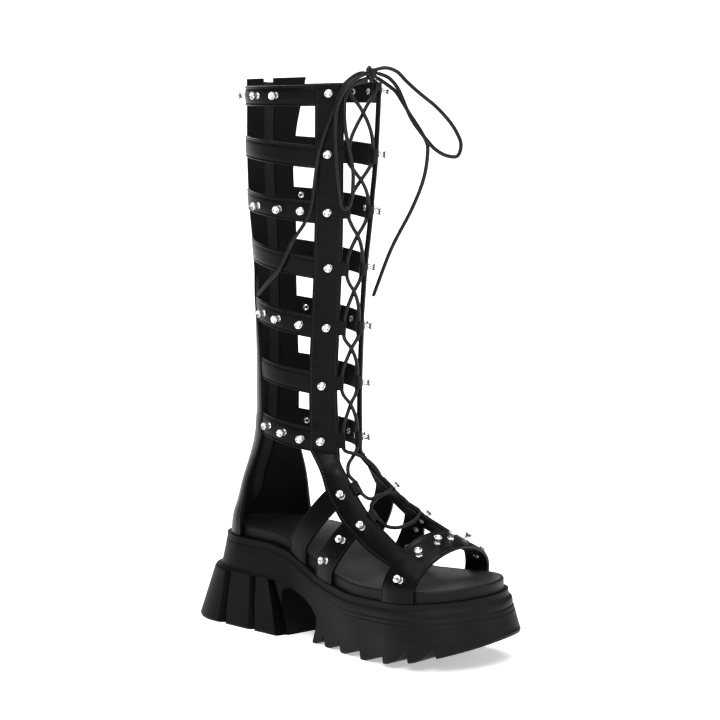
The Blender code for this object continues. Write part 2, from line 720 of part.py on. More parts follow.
def between(first, second, t):
    """The row between two named sections, with its own width at the rim."""
    a, b = [next(section for section in FOOT if section.name == name) for name in (first, second)]
    return foot_row(Section("between", *(p + (q - p) * t for p, q in zip(a[1:], b[1:]))))


def strap_line(row, side, start, cells):
    """A strap's line from the eyestay to the rim, and down past the rim to the sole's first ledge."""
    line = [(*form_point(row, side * start), True)]
    line += row_line(row, side, span(start + 1.5, 90.0, cells), False)
    x, y, z = form_point(row, side * 90.0)
    rim = rim_height(x, y)
    line += [(x, y, min(z, rim) - 1.5, False), (x, y, rim - RIM_HEIGHT + GAP, False)]
    return line


def foot_shell(shell, side):
    """The lower eyestay, both side straps and half of the toe strap."""
    rows = foot_rows()
    toe_rear = next(i for i, row in enumerate(rows) if row.front[0] < TOE_STRAP_REAR)
    lines = []
    for row in rows[: toe_rear + 1]:
        lines.append(row_line(row, side, span(row.throat, row.stay, STAY_CELLS), True))
    shell.grid(side, lines)
    for number in (1, 2):
        edges = (f"side_strap_{number}_rear", f"side_strap_{number}_front")
        strap = [between(*edges, t) for t in (0.0, 0.5, 1.0)]
        shell.grid(side, [strap_line(row, side, row.stay, 5) for row in strap])
    lines = []
    for row in rows[toe_rear:]:
        proud = row is rows[toe_rear]
        crown = row_line(row, side, span(0.0, row.throat, 3), False)
        stay = row_line(row, side, span(row.throat, row.stay, STAY_CELLS)[1:], proud)
        crown[-1] = (*crown[-1][:3], proud)
        lines.append(crown + stay + strap_line(row, side, row.stay, 3)[1:])
    shell.grid(side, lines)


def counter_shell(shell, side):
    """The counter: the back panel carried down round the heel to the sole."""
    heights = [143.0, 134.0, 124.0, 116.0, 108.0, 100.0, ZIP_FOOT, 84.0, 76.0, 67.4]
    last_row = shaft_row(BANDS[-1].bottom)
    lines = []
    for height in heights:
        cover = read_table(COVER, "height", "inner" if side < 0 else "outer", height)
        if height == heights[0]:
            lines.append(row_line(last_row, side, column_angles(last_row, side)[2], True))
            continue
        half_width = read_table(COUNTER, "height", "half_width", height)
        centre = math.degrees(math.asin(ZIP_HALF / half_width)) if height >= ZIP_FOOT else 0.0
        angles = span(cover, centre, PANEL_CELLS)
        lines.append([(*counter_point(height, side * angle), True) for angle in angles])
    shell.grid(side, lines)


def make_upper(collection, finish):
    """One hollow leather shell: an open surface with the wall put on its outside."""
    shell = Shell()
    for side in (-1, 1):
        shaft_shell(shell, side)
        foot_shell(shell, side)
        counter_shell(shell, side)
    mesh = bpy.data.meshes.new("upper")
    shell.bm.to_mesh(mesh)
    shell.bm.free()
    upper = add_object("upper", mesh, finish, collection)
    upper.vertex_groups.new(name="wall")
    solidify = upper.modifiers.new("leather", "SOLIDIFY")
    solidify.thickness = (LEATHER + OVERLAY) * MM
    solidify.offset = 1.0
    solidify.vertex_group = "wall"
    return upper


# ---------------------------------------------------------------- studs
def strap_row(strap, share):
    return between(strap + "_rear", strap + "_front", share)


def outward(above, below, angle):
    """The form's point midway between two rows at one angle, and the way out of the form there."""
    here = [(Vector(form_point(above, turn)) + Vector(form_point(below, turn))) / 2
            for turn in (angle - 1.0, angle, angle + 1.0)]
    up = Vector(form_point(above, angle)) - Vector(form_point(below, angle))
    return here[1], (here[2] - here[0]).cross(up).normalized()


def stud_mesh(finish):
    mesh = bpy.data.meshes.new("stud")
    points = [Vector((radius, 0.0, height)) * MM for radius, height in STUD_PROFILE]
    mesh.from_pydata(points, [(i, i + 1) for i in range(len(points) - 1)], [])
    mesh.materials.append(finish)
    return mesh


def add_stud(name, mesh, base, out, collection):
    """A stud that stands on the leather, its own axis along the way out."""
    stud = bpy.data.objects.new(name, mesh)
    collection.objects.link(stud)
    stud.location = place(*base)
    stud.rotation_mode = "QUATERNION"
    stud.rotation_quaternion = out.to_track_quat("Z", "Y")
    turned = stud.modifiers.new("turned", "SCREW")
    turned.steps = turned.render_steps = 8
    turned.use_merge_vertices = True
    turned.merge_threshold = 0.0001
    turned.use_smooth_shade = False


def make_studs(collection, finish):
    mesh = stud_mesh(finish)
    seat = GAP + 0.4  # over the foot the leather is curved both ways, so a stud's flange sits higher
    middles = {band.name: (band.top + band.bottom) / 2 for band in BANDS}
    for place_in_table, stud in enumerate(BAND_STUDS):
        number = [other.band for other in BAND_STUDS[: place_in_table + 1]].count(stud.band)
        height = middles[stud.band] + stud.above
        above, below = shaft_row(height + 0.5), shaft_row(height - 0.5)
        wall = LEATHER + (OVERLAY if stud.angle < above.stay else 0.0)
        for side, word in ((-1, "inner"), (1, "outer")):
            base, out = outward(above, below, side * stud.angle)
            name = f"stud_{stud.band}_{word}_{number}"
            add_stud(name, mesh, base + out * (wall + GAP), out, collection)
    for number, stud in enumerate(SIDE_STUDS, 1):
        above, below = strap_row(stud.strap, stud.share - 0.02), strap_row(stud.strap, stud.share + 0.02)
        wall = LEATHER + (OVERLAY if stud.angle < below.stay else 0.0)
        for side, word in ((-1, "inner"), (1, "outer")):
            base, out = outward(above, below, side * stud.angle)
            add_stud(f"stud_foot_{word}_{number}", mesh, base + out * (wall + seat), out, collection)
    for number, stud in enumerate(TOE_STUDS, 1):
        above, below = strap_row(stud.strap, stud.share - 0.02), strap_row(stud.strap, stud.share + 0.02)
        base, out = outward(above, below, stud.angle)
        add_stud(f"stud_toe_{number}", mesh, base + out * (LEATHER + seat), out, collection)


# ---------------------------------------------------------------- lace
def smooth_route(points, spacing):
    """Points about one spacing apart on a smooth curve through the route's own points."""
    points = [Vector(point) for point in points]
    ends = [points[0] * 2 - points[1]] + points + [points[-1] * 2 - points[-2]]
    fine = []
    for before, a, b, after in zip(ends, ends[1:], ends[2:], ends[3:]):
        for k in range(12):
            t = k / 12
            fine.append(((a * 2) + (b - before) * t + (before * 2 - a * 5 + b * 4 - after) * t**2
                         + (a * 3 - before - b * 3 + after) * t**3) / 2)
    fine.append(points[-1])
    reach = [0.0]
    for a, b in zip(fine, fine[1:]):
        reach.append(reach[-1] + (b - a).length)
    count = max(round(reach[-1] / spacing), 2)
    route, k = [], 0
    for i in range(count + 1):
        want = reach[-1] * i / count
        while k < len(reach) - 2 and reach[k + 1] < want:
            k += 1
        share = (want - reach[k]) / (reach[k + 1] - reach[k])
        route.append(fine[k].lerp(fine[k + 1], min(share, 1.0)))
    return route


def add_cord(name, route, collection, finish):
    """A round cord along a route given from the shaft's axis."""
    curve = bpy.data.curves.new(name, "CURVE")
    curve.dimensions = "3D"
    curve.bevel_depth = LACE / 2 * MM
    curve.bevel_resolution = 2
    curve.use_fill_caps = True
    spline = curve.splines.new("POLY")
    spline.points.add(len(route) - 1)
    for point, at in zip(spline.points, route):
        point.co = (*place(*at), 1.0)
    return add_object(name, curve, finish, collection)


def lace_levels():
    """The rows where the lace goes in and out of its loop beside each strap."""
    levels = [(shaft_row(band.top - 2.5), shaft_row(band.bottom + 2.5)) for band in BANDS]
    return levels + [(strap_row(f"side_strap_{n}", 0.1), strap_row(f"side_strap_{n}", 0.85)) for n in (1, 2)]


def crossing_route():
    """The lace from the knot down to its bar over the instep and up again, bowed where it crosses."""
    from_edge, out_of_form, bow = 4.2, 1.6, LACE / 2 + 0.35
    levels = lace_levels()

    def runs(level, side):
        above, below = levels[level]
        lift = outward(above, below, side * (below.throat - from_edge))[1] * out_of_form
        return [Vector(form_point(row, side * (row.throat - from_edge))) + lift for row in (above, below)]

    def strand(first_side):
        points = []
        for level in range(len(levels)):
            side = first_side * (-1) ** level
            here = runs(level, side)
            if points:
                rows = levels[level - 1][1], levels[level][0]
                lift = outward(*rows, 0.0)[1] * (out_of_form + bow * first_side * (-1) ** level)
                points.append((points[-1] + here[0]) / 2 + lift)
            points += here
        return points

    down, up = strand(-1), strand(1)
    bar = (down[-1] + up[-1]) / 2 + Vector((0.0, -3.0, -3.0))
    knot = Vector(KNOT)
    start = [knot + Vector((-6.0, 3.6, -1.6)), knot + Vector((-11.0, 4.8, 0.6))]
    return start + down + [bar] + up[::-1] + [knot + Vector((1.6, 6.0, -0.6))]


def make_lace(collection, finish):
    """The crossings, the knot and the bow's two loops and two ends."""
    add_cord("lace_crossings", smooth_route(crossing_route(), LACE_STEP), collection, finish)
    bpy.ops.mesh.primitive_uv_sphere_add(segments=10, ring_count=7, radius=1.0)
    knot = bpy.context.object
    knot.name = "lace_knot"
    knot.location = place(*KNOT)
    knot.scale = Vector(KNOT_HALF) * MM
    knot.data.materials.append(finish)
    for holder in list(knot.users_collection):
        holder.objects.unlink(knot)
    collection.objects.link(knot)
    for name, route in LACE_ROUTES.items():
        add_cord(name, smooth_route(route, LACE_STEP), collection, finish)


# ---------------------------------------------------------------- zip
def back_line():
    """The form's centre-back line from the top of the zip to its foot."""
    heights = span(402.0, 145.0, 13)
    line = [Vector(form_point(shaft_row(height), 180.0)) for height in heights]
    return line + [Vector(counter_point(height, 0.0)) for height in (134.0, 124.0, 108.0, ZIP_FOOT + 1.0)]


def box_faces(bm, rings):
    """Quads between rings of corners, and a cap at each end."""
    rings = [[bm.verts.new(place(*corner)) for corner in ring] for ring in rings]
    for a, b in zip(rings, rings[1:]):
        for i in range(len(a)):
            k = (i + 1) % len(a)
            bm.faces.new((a[i], a[k], b[k], b[i]))
    bm.faces.new(rings[0])
    bm.faces.new(reversed(rings[-1]))


def make_zip_tape(collection, finish):
    """The closed zip: its tape fills the opening and its chain of teeth stands proud of it."""
    inside, half, chain_half, chain = 0.3, ZIP_HALF - GAP, 2.4, 1.1
    line = back_line()

    def build(bm):
        rings = []
        for i, point in enumerate(line):
            along = line[max(i - 1, 0)] - line[min(i + 1, len(line) - 1)]
            out = Vector((1.0, 0.0, 0.0)).cross(along).normalized() * -1
            low, top = inside, inside + TAPE
            corners = [(-half, low), (half, low), (half, top), (chain_half, top), (chain_half, top + chain),
                       (-chain_half, top + chain), (-chain_half, top), (-half, top)]
            rings.append([point + Vector((x, 0.0, 0.0)) + out * off for x, off in corners])
        box_faces(bm, rings)

    return add_object("zip_tape", mesh_from(build, "zip_tape"), finish, collection)


def block(bm, low, high):
    """A box between two corners given from the slider's foot: across, outwards and up."""
    (x0, y0, z0), (x1, y1, z1) = low, high
    ring = [(x0, y0), (x1, y0), (x1, y1), (x0, y1)]
    foot = Vector(SLIDER_FOOT)
    box_faces(bm, [[foot + Vector((x, y, z)) for x, y in ring] for z in (z0, z1)])


def make_zip_slider(collection, cutters, finish):
    """The slider's outer plate with the bridge that its pull hangs from."""
    plate = add_object("zip_slider", mesh_from(lambda bm: block(bm, (-4.2, 0.0, 0.0), (4.2, 2.2, 12.0)),
                                               "zip_slider"), finish, collection)
    bridge = add_cutter("slider_bridge", lambda bm: block(bm, (-1.2, 1.2, 2.0), (1.2, 6.0, 10.0)), cutters)
    joined = plate.modifiers.new("bridge", "BOOLEAN")
    joined.operation = "UNION"
    joined.object = bridge
    cut(plate, add_cutter("bridge_hole", lambda bm: block(bm, (-3.0, 2.4, 4.4), (3.0, 5.2, 7.6)), cutters))
    return plate


def make_zip_pull(collection, cutters, finish):
    """The pull tab, hung through the bridge. Its origin is on its hinge."""
    low, high, out = -22.0, 0.8, 0.75
    pin = Vector(SLIDER_FOOT) + Vector(PULL_PIN)

    def build(bm):
        width = ((low, 2.6), (low + 2.4, 3.6), (-4.6, 3.2), (high, 3.2))
        rings = []
        for z, half in width:
            ring = ((-half, -out), (half, -out), (half, out), (-half, out))
            rings.append([pin + Vector((x, y, z)) for x, y in ring])
        box_faces(bm, rings)

    def window(bm):
        ring = ((-1.7, -2.0), (1.7, -2.0), (1.7, 2.0), (-1.7, 2.0))
        box_faces(bm, [[pin + Vector((x, y, z)) for x, y in ring] for z in (-5.2, -out)])

    mesh = mesh_from(build, "zip_pull")
    origin = place(*pin)
    mesh.transform(Matrix.Translation(-origin))
    pull = add_object("zip_pull", mesh, finish, collection)
    pull.location = origin
    cut(pull, add_cutter("pull_window", window, cutters))
    return pull


def main():
    for old in list(bpy.data.objects):
        bpy.data.objects.remove(old, do_unlink=True)
    boot = bpy.data.collections.new("gladiator_boot")
    cutters = bpy.data.collections.new("cutters")
    for collection in (boot, cutters):
        bpy.context.scene.collection.children.link(collection)
    leather = material("leather", LEATHER_BLACK, 0.38)
    rubber = material("rubber", SOLE_BLACK, 0.55)
    make_insole(boot, leather)
    make_outsole(boot, cutters, rubber)
    make_upper(boot, leather)
    chrome = material("chrome", CHROME, 0.18, 1.0)
    lace = material("lace", LACE_BLACK, 0.7)
    tape = material("tape", LACE_BLACK, 0.8)
    make_studs(boot, chrome)
    make_lace(boot, lace)
    make_zip_tape(boot, tape)
    make_zip_slider(boot, cutters, chrome)
    make_zip_pull(boot, cutters, chrome)


main()
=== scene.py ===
# %% [markdown]
# # A knee-high gladiator boot on a platform sole
# The boot is a cage of leather straps: seven bands round the leg, two straps over each side of the
# foot and one over the toes. Two long eyestays with a lace join them in front, a panel with a zip
# joins them behind, and all of it stands on a tall moulded sole.

# %% Frame
import json
import math
from collections import namedtuple
from functools import lru_cache

import bmesh
import bpy
from mathutils import Matrix, Vector

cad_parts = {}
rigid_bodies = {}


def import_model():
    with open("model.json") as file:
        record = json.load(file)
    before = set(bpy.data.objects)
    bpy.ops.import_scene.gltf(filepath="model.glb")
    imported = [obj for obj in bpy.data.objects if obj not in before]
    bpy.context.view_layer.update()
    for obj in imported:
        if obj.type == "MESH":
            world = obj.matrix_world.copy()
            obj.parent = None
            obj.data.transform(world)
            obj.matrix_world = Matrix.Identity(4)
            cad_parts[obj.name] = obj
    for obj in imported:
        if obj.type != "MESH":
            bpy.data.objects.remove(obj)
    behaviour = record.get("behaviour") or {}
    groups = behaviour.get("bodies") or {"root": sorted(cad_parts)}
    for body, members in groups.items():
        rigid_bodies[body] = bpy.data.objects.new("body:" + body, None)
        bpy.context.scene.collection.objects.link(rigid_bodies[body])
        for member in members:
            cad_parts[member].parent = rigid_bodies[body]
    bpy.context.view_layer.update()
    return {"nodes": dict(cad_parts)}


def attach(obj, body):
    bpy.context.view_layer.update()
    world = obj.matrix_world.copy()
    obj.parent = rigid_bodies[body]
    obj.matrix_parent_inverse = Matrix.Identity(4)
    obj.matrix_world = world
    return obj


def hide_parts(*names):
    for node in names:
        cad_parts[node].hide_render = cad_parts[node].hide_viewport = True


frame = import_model()

# %% [markdown]
# ## Sizes in millimetres
# A bootmaker draws in millimetres from the axis of the leg, so these sizes do too: x across the
# foot (the outer side is positive), y backwards and z up. `place` turns such a point into metres.

# %% Units
MM = 0.001
AXIS_X, AXIS_Y = -2.3, 43.5  # the axis of the leg, from the middle of the boot
LEATHER, OVERLAY = 2.2, 0.9  # wall of the straps, and what the stays and panels have on top
LACE, GAP = 2.5, 0.3
COLLAR, ANKLE_HEIGHT = 401.0, 143.0  # top of the collar band and foot of the last band
UP, SIDEWAYS = Vector((0.0, 0.0, 1.0)), Vector((1.0, 0.0, 0.0))
SAME_PLACE = 0.00001  # metres within which two corners are one


def place(x, y, z):
    return Vector((x + AXIS_X, y + AXIS_Y, z)) * MM


def spread(start, end, cells):
    """Evenly spaced values from start to end, both included."""
    return [start + (end - start) * i / cells for i in range(cells + 1)]


def vectors(points):
    return [Vector(point) for point in points]


def clamp(value):
    return min(max(value, 0.0), 1.0)


def bell(x):
    return math.exp(-x * x)


def lengths(points):
    """How far along a line each of its points is."""
    made = [0.0]
    for a, b in zip(points, points[1:]):
        made.append(made[-1] + (b - a).length)
    return made


def mixed(a, b, share):
    """A mix of two numbers, or of two rows of numbers."""
    if not isinstance(a, tuple):
        return a + (b - a) * share
    parts = [mixed(p, q, share) for p, q in zip(a, b)]
    return type(a)(*parts) if hasattr(a, "_fields") else tuple(parts)


def table(row, entries):
    return [row(*entry) for entry in entries]


def put(name, data):
    """A new object in the scene."""
    made = bpy.data.objects.new(name, data)
    bpy.context.scene.collection.objects.link(made)
    return made


def aim(made, at, target):
    made.location = at
    made.rotation_euler = (Vector(target) - Vector(at)).to_track_quat("-Z", "Y").to_euler()


print("axis of the leg at", tuple(round(v, 4) for v in place(0.0, 0.0, 0.0)), "m")

# %% [markdown]
# ## Camera
# The boot is seen from the front and from its inner side, turned 41 degrees, from a little above.
# A long lens from far away keeps the leg's sides parallel, as catalogue cameras do.

# %% Camera
camera = put("camera", bpy.data.cameras.new("camera"))
aim(camera, place(-1476.1, -1698.1, 500.0), place(0.0, 0.0, 250.0))
camera.data.lens, camera.data.clip_end = 155.0, 200.0
camera.data.shift_x, camera.data.shift_y = 0.068, -0.096
bpy.context.scene.camera = camera
print("camera", round(camera.location.length, 3), "m from the boot")

# %% [markdown]
# ## The lace's routes
# The bow is tied at the collar. Each loop and each end is a free cord of a real length, so its
# route is settled first, as points on the cord's centre line.

# %% Lace routes
KNOT = (7.4, -56.6, 409.8)
LACE_ROUTES = {
    "lace_loop_inner": [
        (3.2, -58.1, 407.0), (-3.4, -57.9, 405.4), (-10.2, -57.6, 403.1), (-15.2, -57.3, 398.6),
        (-18.8, -58.0, 391.3), (-20.5, -60.0, 375.0), (-15.5, -59.0, 356.5), (-11.5, -58.5, 343.0),
        (-10.5, -57.0, 325.5), (-13.0, -55.5, 315.0), (-15.5, -54.0, 312.0), (-19.0, -54.0, 320.0),
        (-23.0, -55.0, 339.0), (-24.5, -55.0, 355.5), (-25.5, -55.5, 371.0), (-25.6, -57.4, 386.6),
        (-23.6, -59.9, 395.5), (-19.6, -62.3, 402.1), (-13.6, -64.1, 407.1), (-4.8, -62.7, 409.8),
        (2.6, -59.7, 410.6),
    ],
    "lace_loop_outer": [
        (8.6, -58.0, 412.5), (12.4, -61.1, 413.5), (15.9, -64.1, 414.1), (19.4, -67.2, 413.5),
        (23.4, -70.8, 408.3), (32.3, -78.8, 397.1), (43.4, -88.1, 385.1), (52.5, -95.5, 371.0),
        (56.0, -99.0, 358.5), (54.0, -97.0, 351.0), (50.5, -94.0, 350.5), (43.5, -88.0, 354.5),
        (37.5, -83.0, 362.5), (30.5, -76.5, 375.1), (26.6, -73.2, 385.1), (24.0, -70.7, 394.0),
        (20.6, -67.5, 402.5), (15.4, -63.1, 408.6), (10.9, -59.1, 410.4),
    ],
    "lace_end_inner": [
        (4.5, -57.7, 408.7), (-4.4, -60.2, 410.9), (-10.8, -60.9, 409.7), (-15.8, -59.6, 406.9),
        (-19.8, -57.2, 401.6), (-22.2, -54.6, 394.5), (-24.0, -52.5, 386.5), (-27.5, -49.0, 373.0),
        (-30.5, -44.0, 355.5), (-30.5, -40.0, 338.5), (-31.5, -38.0, 321.5), (-33.0, -36.0, 311.0),
        (-36.0, -30.5, 299.5), (-38.5, -23.5, 290.0), (-41.0, -14.5, 272.0), (-42.0, -1.0, 259.5),
        (-39.5, 13.0, 249.0),
    ],
    "lace_end_outer": [
        (11.6, -57.3, 407.3), (15.5, -59.9, 404.2), (23.5, -65.0, 397.0), (30.0, -70.6, 383.4),
        (39.0, -78.5, 364.5), (41.5, -79.5, 354.5), (43.0, -74.0, 334.5), (42.0, -62.5, 311.5),
        (37.5, -45.5, 281.5), (34.5, -29.5, 246.0),
    ],
}


def smooth_route(points, spacing):
    """Points about one spacing apart on a smooth curve through the route's own points."""
    points = vectors(points)
    ends = [points[0] * 2 - points[1]] + points + [points[-1] * 2 - points[-2]]
    fine = []
    for before, a, b, after in zip(ends, ends[1:], ends[2:], ends[3:]):
        for k in range(12):
            t = k / 12
            fine.append(((a * 2) + (b - before) * t + (before * 2 - a * 5 + b * 4 - after) * t**2
                         + (a * 3 - before - b * 3 + after) * t**3) / 2)
    fine.append(points[-1])
    reach = lengths(fine)
    route, k = [], 0
    for want in spread(0.0, reach[-1], max(round(reach[-1] / spacing), 2)):
        while k < len(reach) - 2 and reach[k + 1] < want:
            k += 1
        share = (want - reach[k]) / (reach[k + 1] - reach[k])
        route.append(fine[k].lerp(fine[k + 1], min(share, 1.0)))
    return route


print("routes:", {name: len(route) for name, route in LACE_ROUTES.items()}, "points")

# %% [markdown]
# ## Finishes
# The leather is black with a satin dressing and a fine grain, so it is dark but carries soft
# lights along its folds. The sole is moulded and matt. The lace is woven, the studs are polished.
# All patterns read object coordinates, which keeps them fixed to the boot from every side.

# %% Material helpers
def finish(name, colour, roughness, metallic=0.0, specular=0.5):
    made = bpy.data.materials.new(name)
    made.use_nodes = True
    made.diffuse_color = (*colour, 1.0)
    values = (("Base Color", (*colour, 1.0)), ("Roughness", roughness), ("Metallic", metallic),
              ("Specular IOR Level", specular))
    for socket, value in values:
        surface(made, socket).default_value = value
    return made


def surface(material, socket):
    return material.node_tree.nodes["Principled BSDF"].inputs[socket]


def node(tree, kind, **values):
    """A new node with some of its sockets set; an underline stands for a space in their names."""
    made = tree.nodes.new(kind)
    for name, value in values.items():
        made.inputs[name.replace("_", " ")].default_value = value
    return made


def add_noise(material, scale, detail):
    tree = material.node_tree
    noise = node(tree, "ShaderNodeTexNoise", Scale=scale, Detail=detail)
    tree.links.new(tree.nodes.new("ShaderNodeTexCoord").outputs["Object"], noise.inputs["Vector"])
    return tree, noise.outputs[0]


def add_grain(material, scale, strength, depth):
    """A fine relief over the whole surface."""
    tree, pattern = add_noise(material, scale, 4.0)
    bump = node(tree, "ShaderNodeBump", Strength=strength, Distance=depth)
    tree.links.new(pattern, bump.inputs["Height"])
    tree.links.new(bump.outputs["Normal"], surface(material, "Normal"))


def add_wear(material, low, high, scale):
    """Lets the roughness wander between two values, so that the lights break up."""
    tree, pattern = add_noise(material, scale, 3.0)
    ramp = node(tree, "ShaderNodeMapRange", To_Min=low, To_Max=high)
    tree.links.new(pattern, ramp.inputs["Value"])
    tree.links.new(ramp.outputs["Result"], surface(material, "Roughness"))


def paint_light_and_shade_along(material, stops):
    """Paints light and shade along the boot: eases a grey from place to place, as (metres from the middle,
    grey).
    """
    tree = material.node_tree
    first, last = stops[0][0], stops[-1][0]
    share = node(tree, "ShaderNodeMapRange", From_Min=first, From_Max=last)
    split, ramp = node(tree, "ShaderNodeSeparateXYZ"), node(tree, "ShaderNodeValToRGB")
    ramp.color_ramp.interpolation = "EASE"
    marks = ramp.color_ramp.elements
    for index, (at, grey) in enumerate(stops):
        position = (at - first) / (last - first)
        mark = marks[index] if index < 2 else marks.new(position)
        mark.position, mark.color = position, (grey, grey, grey, 1.0)
    tree.links.new(tree.nodes.new("ShaderNodeTexCoord").outputs["Object"], split.inputs["Vector"])
    tree.links.new(split.outputs["Y"], share.inputs["Value"])
    tree.links.new(share.outputs["Result"], ramp.inputs["Fac"])
    tree.links.new(ramp.outputs["Color"], surface(material, "Base Color"))


print("helpers for grain, wear and fade are ready")

# %% Finishes
leather = finish("satin_black_leather", (0.0017, 0.0019, 0.0018), 0.36, specular=0.075)
add_grain(leather, 900.0, 0.22, 0.0004)
add_wear(leather, 0.26, 0.42, 55.0)
lining = finish("lining", (0.0034, 0.0037, 0.0036), 0.7, specular=0.07)
add_grain(lining, 1400.0, 0.3, 0.0003)
footbed = finish("footbed_cover", (0.020, 0.020, 0.0205), 0.5, specular=0.3)
add_grain(footbed, 1100.0, 0.25, 0.0003)
# Painted light and shade on the footbed's top: its grey is lighter where light falls, at the toe and between
# the two side straps, and darker in shade from behind the toe strap to the second side strap and at the heel,
# under the counter.
paint_light_and_shade_along(footbed, [(-0.092, 0.0200), (-0.072, 0.0080), (-0.026, 0.0080), (-0.010, 0.0185), (0.006, 0.0175),
                   (0.035, 0.0045)])
# The rolled rim's side of the same wrapped sheet, in a darker grey: painted shade on its upright side.
shaded_footbed_side = finish("shaded_footbed_side", (0.0042, 0.0042, 0.0043), 0.5, specular=0.12)
add_grain(shaded_footbed_side, 1100.0, 0.2, 0.0003)
rubber = finish("moulded_sole", (0.0040, 0.0040, 0.0041), 0.5, specular=0.06)
add_grain(rubber, 500.0, 0.12, 0.0003)
# Painted light and shade on the sole: its grey eases from lighter at the toe, which faces the light, to
# darker at the heel.
paint_light_and_shade_along(rubber, [(-0.10, 0.0066), (0.05, 0.0012)])
chrome = finish("polished_metal", (0.66, 0.65, 0.64), 0.2, metallic=0.84)
# A dark disc fills each rivet ring's middle: painted shade for the hollow of the rivet's rolled end.
rivet_hole_shade = finish("rivet_hole_painted_shade", (0.02, 0.02, 0.02), 0.5, metallic=0.6)
lace_weave = finish("round_lace", (0.0032, 0.0032, 0.0032), 0.45, specular=0.2)
thread = finish("sewing_thread", (0.010, 0.010, 0.010), 0.55, specular=0.3)
tape = finish("zip_tape_weave", (0.006, 0.006, 0.0065), 0.8, specular=0.2)
teeth = finish("zip_teeth", (0.10, 0.10, 0.10), 0.35, metallic=0.4)
print("finishes:", len(bpy.data.materials))

# %% [markdown]
# ## The foot's outline
# Everything on the foot hangs on the rim of the footbed, so the rim comes first. Its two ends are
# arcs and its sides follow a short table of half widths. A smooth curve through a table gives the
# value anywhere between two rows, which is how a pattern maker fairs a line.

# %% Tables and their reading
HEEL_HEIGHT, BALL_HEIGHT, RIM_HEIGHT = 75.0, 52.6, 8.0
TOE_RISE, TOE_SPRING, FLEX_SKEW = 7.5, 20.0, math.radians(20.0)
CURL_START, CURL_END = 82.0, 178.5  # where the toe's curl starts and ends, ahead of the axis
ROUND_FROM, ZIP_HALF, ZIP_FOOT = 75.0, 5.0, 92.0
HEEL_CENTRE_Y, HEEL_RADIUS = 36.5, 31.3
TOE_CENTRE_X, TOE_CENTRE_Y, TOE_RADIUS = 5.2, -131.5, 46.0
ARC_STEPS, SIDE_STEPS = 24, 52


def smooth_value(points, at):
    """The value at one place of a smooth curve through (place, value) pairs, held flat past both ends."""
    points = sorted(points)
    if at <= points[0][0]:
        return points[0][1]
    if at >= points[-1][0]:
        return points[-1][1]
    last = len(points) - 1
    k = max(i for i in range(last) if points[i][0] <= at)
    steps = [(b[1] - a[1]) / (b[0] - a[0]) for a, b in zip(points, points[1:])]

    def slope(i):
        if i in (0, last):
            return steps[0] if i == 0 else steps[-1]
        before, after = steps[i - 1], steps[i]
        return 0.0 if before * after <= 0 else 2 * before * after / (before + after)

    (a, low), (b, high) = points[k], points[k + 1]
    t, span = (at - a) / (b - a), b - a
    rest = 1 - t
    from_low = low * (1 + 2 * t) + slope(k) * span * t
    from_high = high * (1 + 2 * rest) - slope(k + 1) * span * rest
    return from_low * rest**2 + from_high * t**2


def read_table(rows, key, column, at):
    return smooth_value([(getattr(row, key), getattr(row, column)) for row in rows], at)


print("halfway up a smooth step:", smooth_value([(0.0, 0.0), (1.0, 1.0)], 0.5))

# %% Rim
# Half widths of the rim between the two arcs, from the foot's centre line.
WAIST = table(namedtuple("Width", "y inner outer"), [
    (36.5, 31.3, 31.3),
    (10.0, 31.0, 32.4),
    (-12.0, 31.0, 34.0),
    (-40.0, 32.4, 37.8),
    (-66.0, 35.8, 43.0),
    (-100.0, 40.2, 49.6),
    (-131.5, 40.8, 51.2),
])

# Height of the top of the rim along the foot.
FOOTBED = table(namedtuple("Height", "y z"), [
    (71.0, HEEL_HEIGHT),
    (10.0, HEEL_HEIGHT),
    (-12.0, HEEL_HEIGHT - 3.0),
    (-32.0, HEEL_HEIGHT - 10.5),
    (-48.0, HEEL_HEIGHT - 16.5),
    (-66.0, BALL_HEIGHT + 2.6),
    (-90.0, BALL_HEIGHT),
    (-125.0, BALL_HEIGHT),
])


def toe_curl(x, y):
    """How far along the toe's curl a point is, from 0 behind the ball to 1 at the tip."""
    ahead = x * math.sin(FLEX_SKEW) - y * math.cos(FLEX_SKEW)
    return max(0.0, (ahead - CURL_START) / (CURL_END - CURL_START)) ** 1.6


def rim_height(x, y):
    return read_table(FOOTBED, "y", "z", y) + TOE_RISE * toe_curl(x, y)


def tread_height(x, y):
    """Height of the tread: on the floor from the heel to the ball, then curling up to the toe."""
    return TOE_SPRING * toe_curl(x, y)


def rim_x(side, y):
    """How far the rim stands from the axis at one y, on one side."""
    if y < TOE_CENTRE_Y:
        reach = math.sqrt(max(TOE_RADIUS**2 - (y - TOE_CENTRE_Y) ** 2, 0.0))
        return TOE_CENTRE_X + side * reach
    return side * read_table(WAIST, "y", "inner" if side < 0 else "outer", y)


@lru_cache(maxsize=None)
def half_outline(side):
    """Points of the rim's half outline, heel to toe, on the inner (-1) or outer (+1) side."""
    quarter = spread(0.0, math.pi / 2, ARC_STEPS)
    heel = [(side * HEEL_RADIUS * math.sin(t), HEEL_CENTRE_Y + HEEL_RADIUS * math.cos(t))
            for t in quarter[:-1]]
    waist = [(rim_x(side, y), y) for y in spread(HEEL_CENTRE_Y, TOE_CENTRE_Y, SIDE_STEPS)[:-1]]
    toe = [(TOE_CENTRE_X + side * TOE_RADIUS * math.cos(t), TOE_CENTRE_Y - TOE_RADIUS * math.sin(t))
           for t in quarter]
    return heel + waist + toe


print("rim at the heel and the ball:", rim_height(0.0, HEEL_CENTRE_Y), rim_height(0.0, -90.0), "mm")

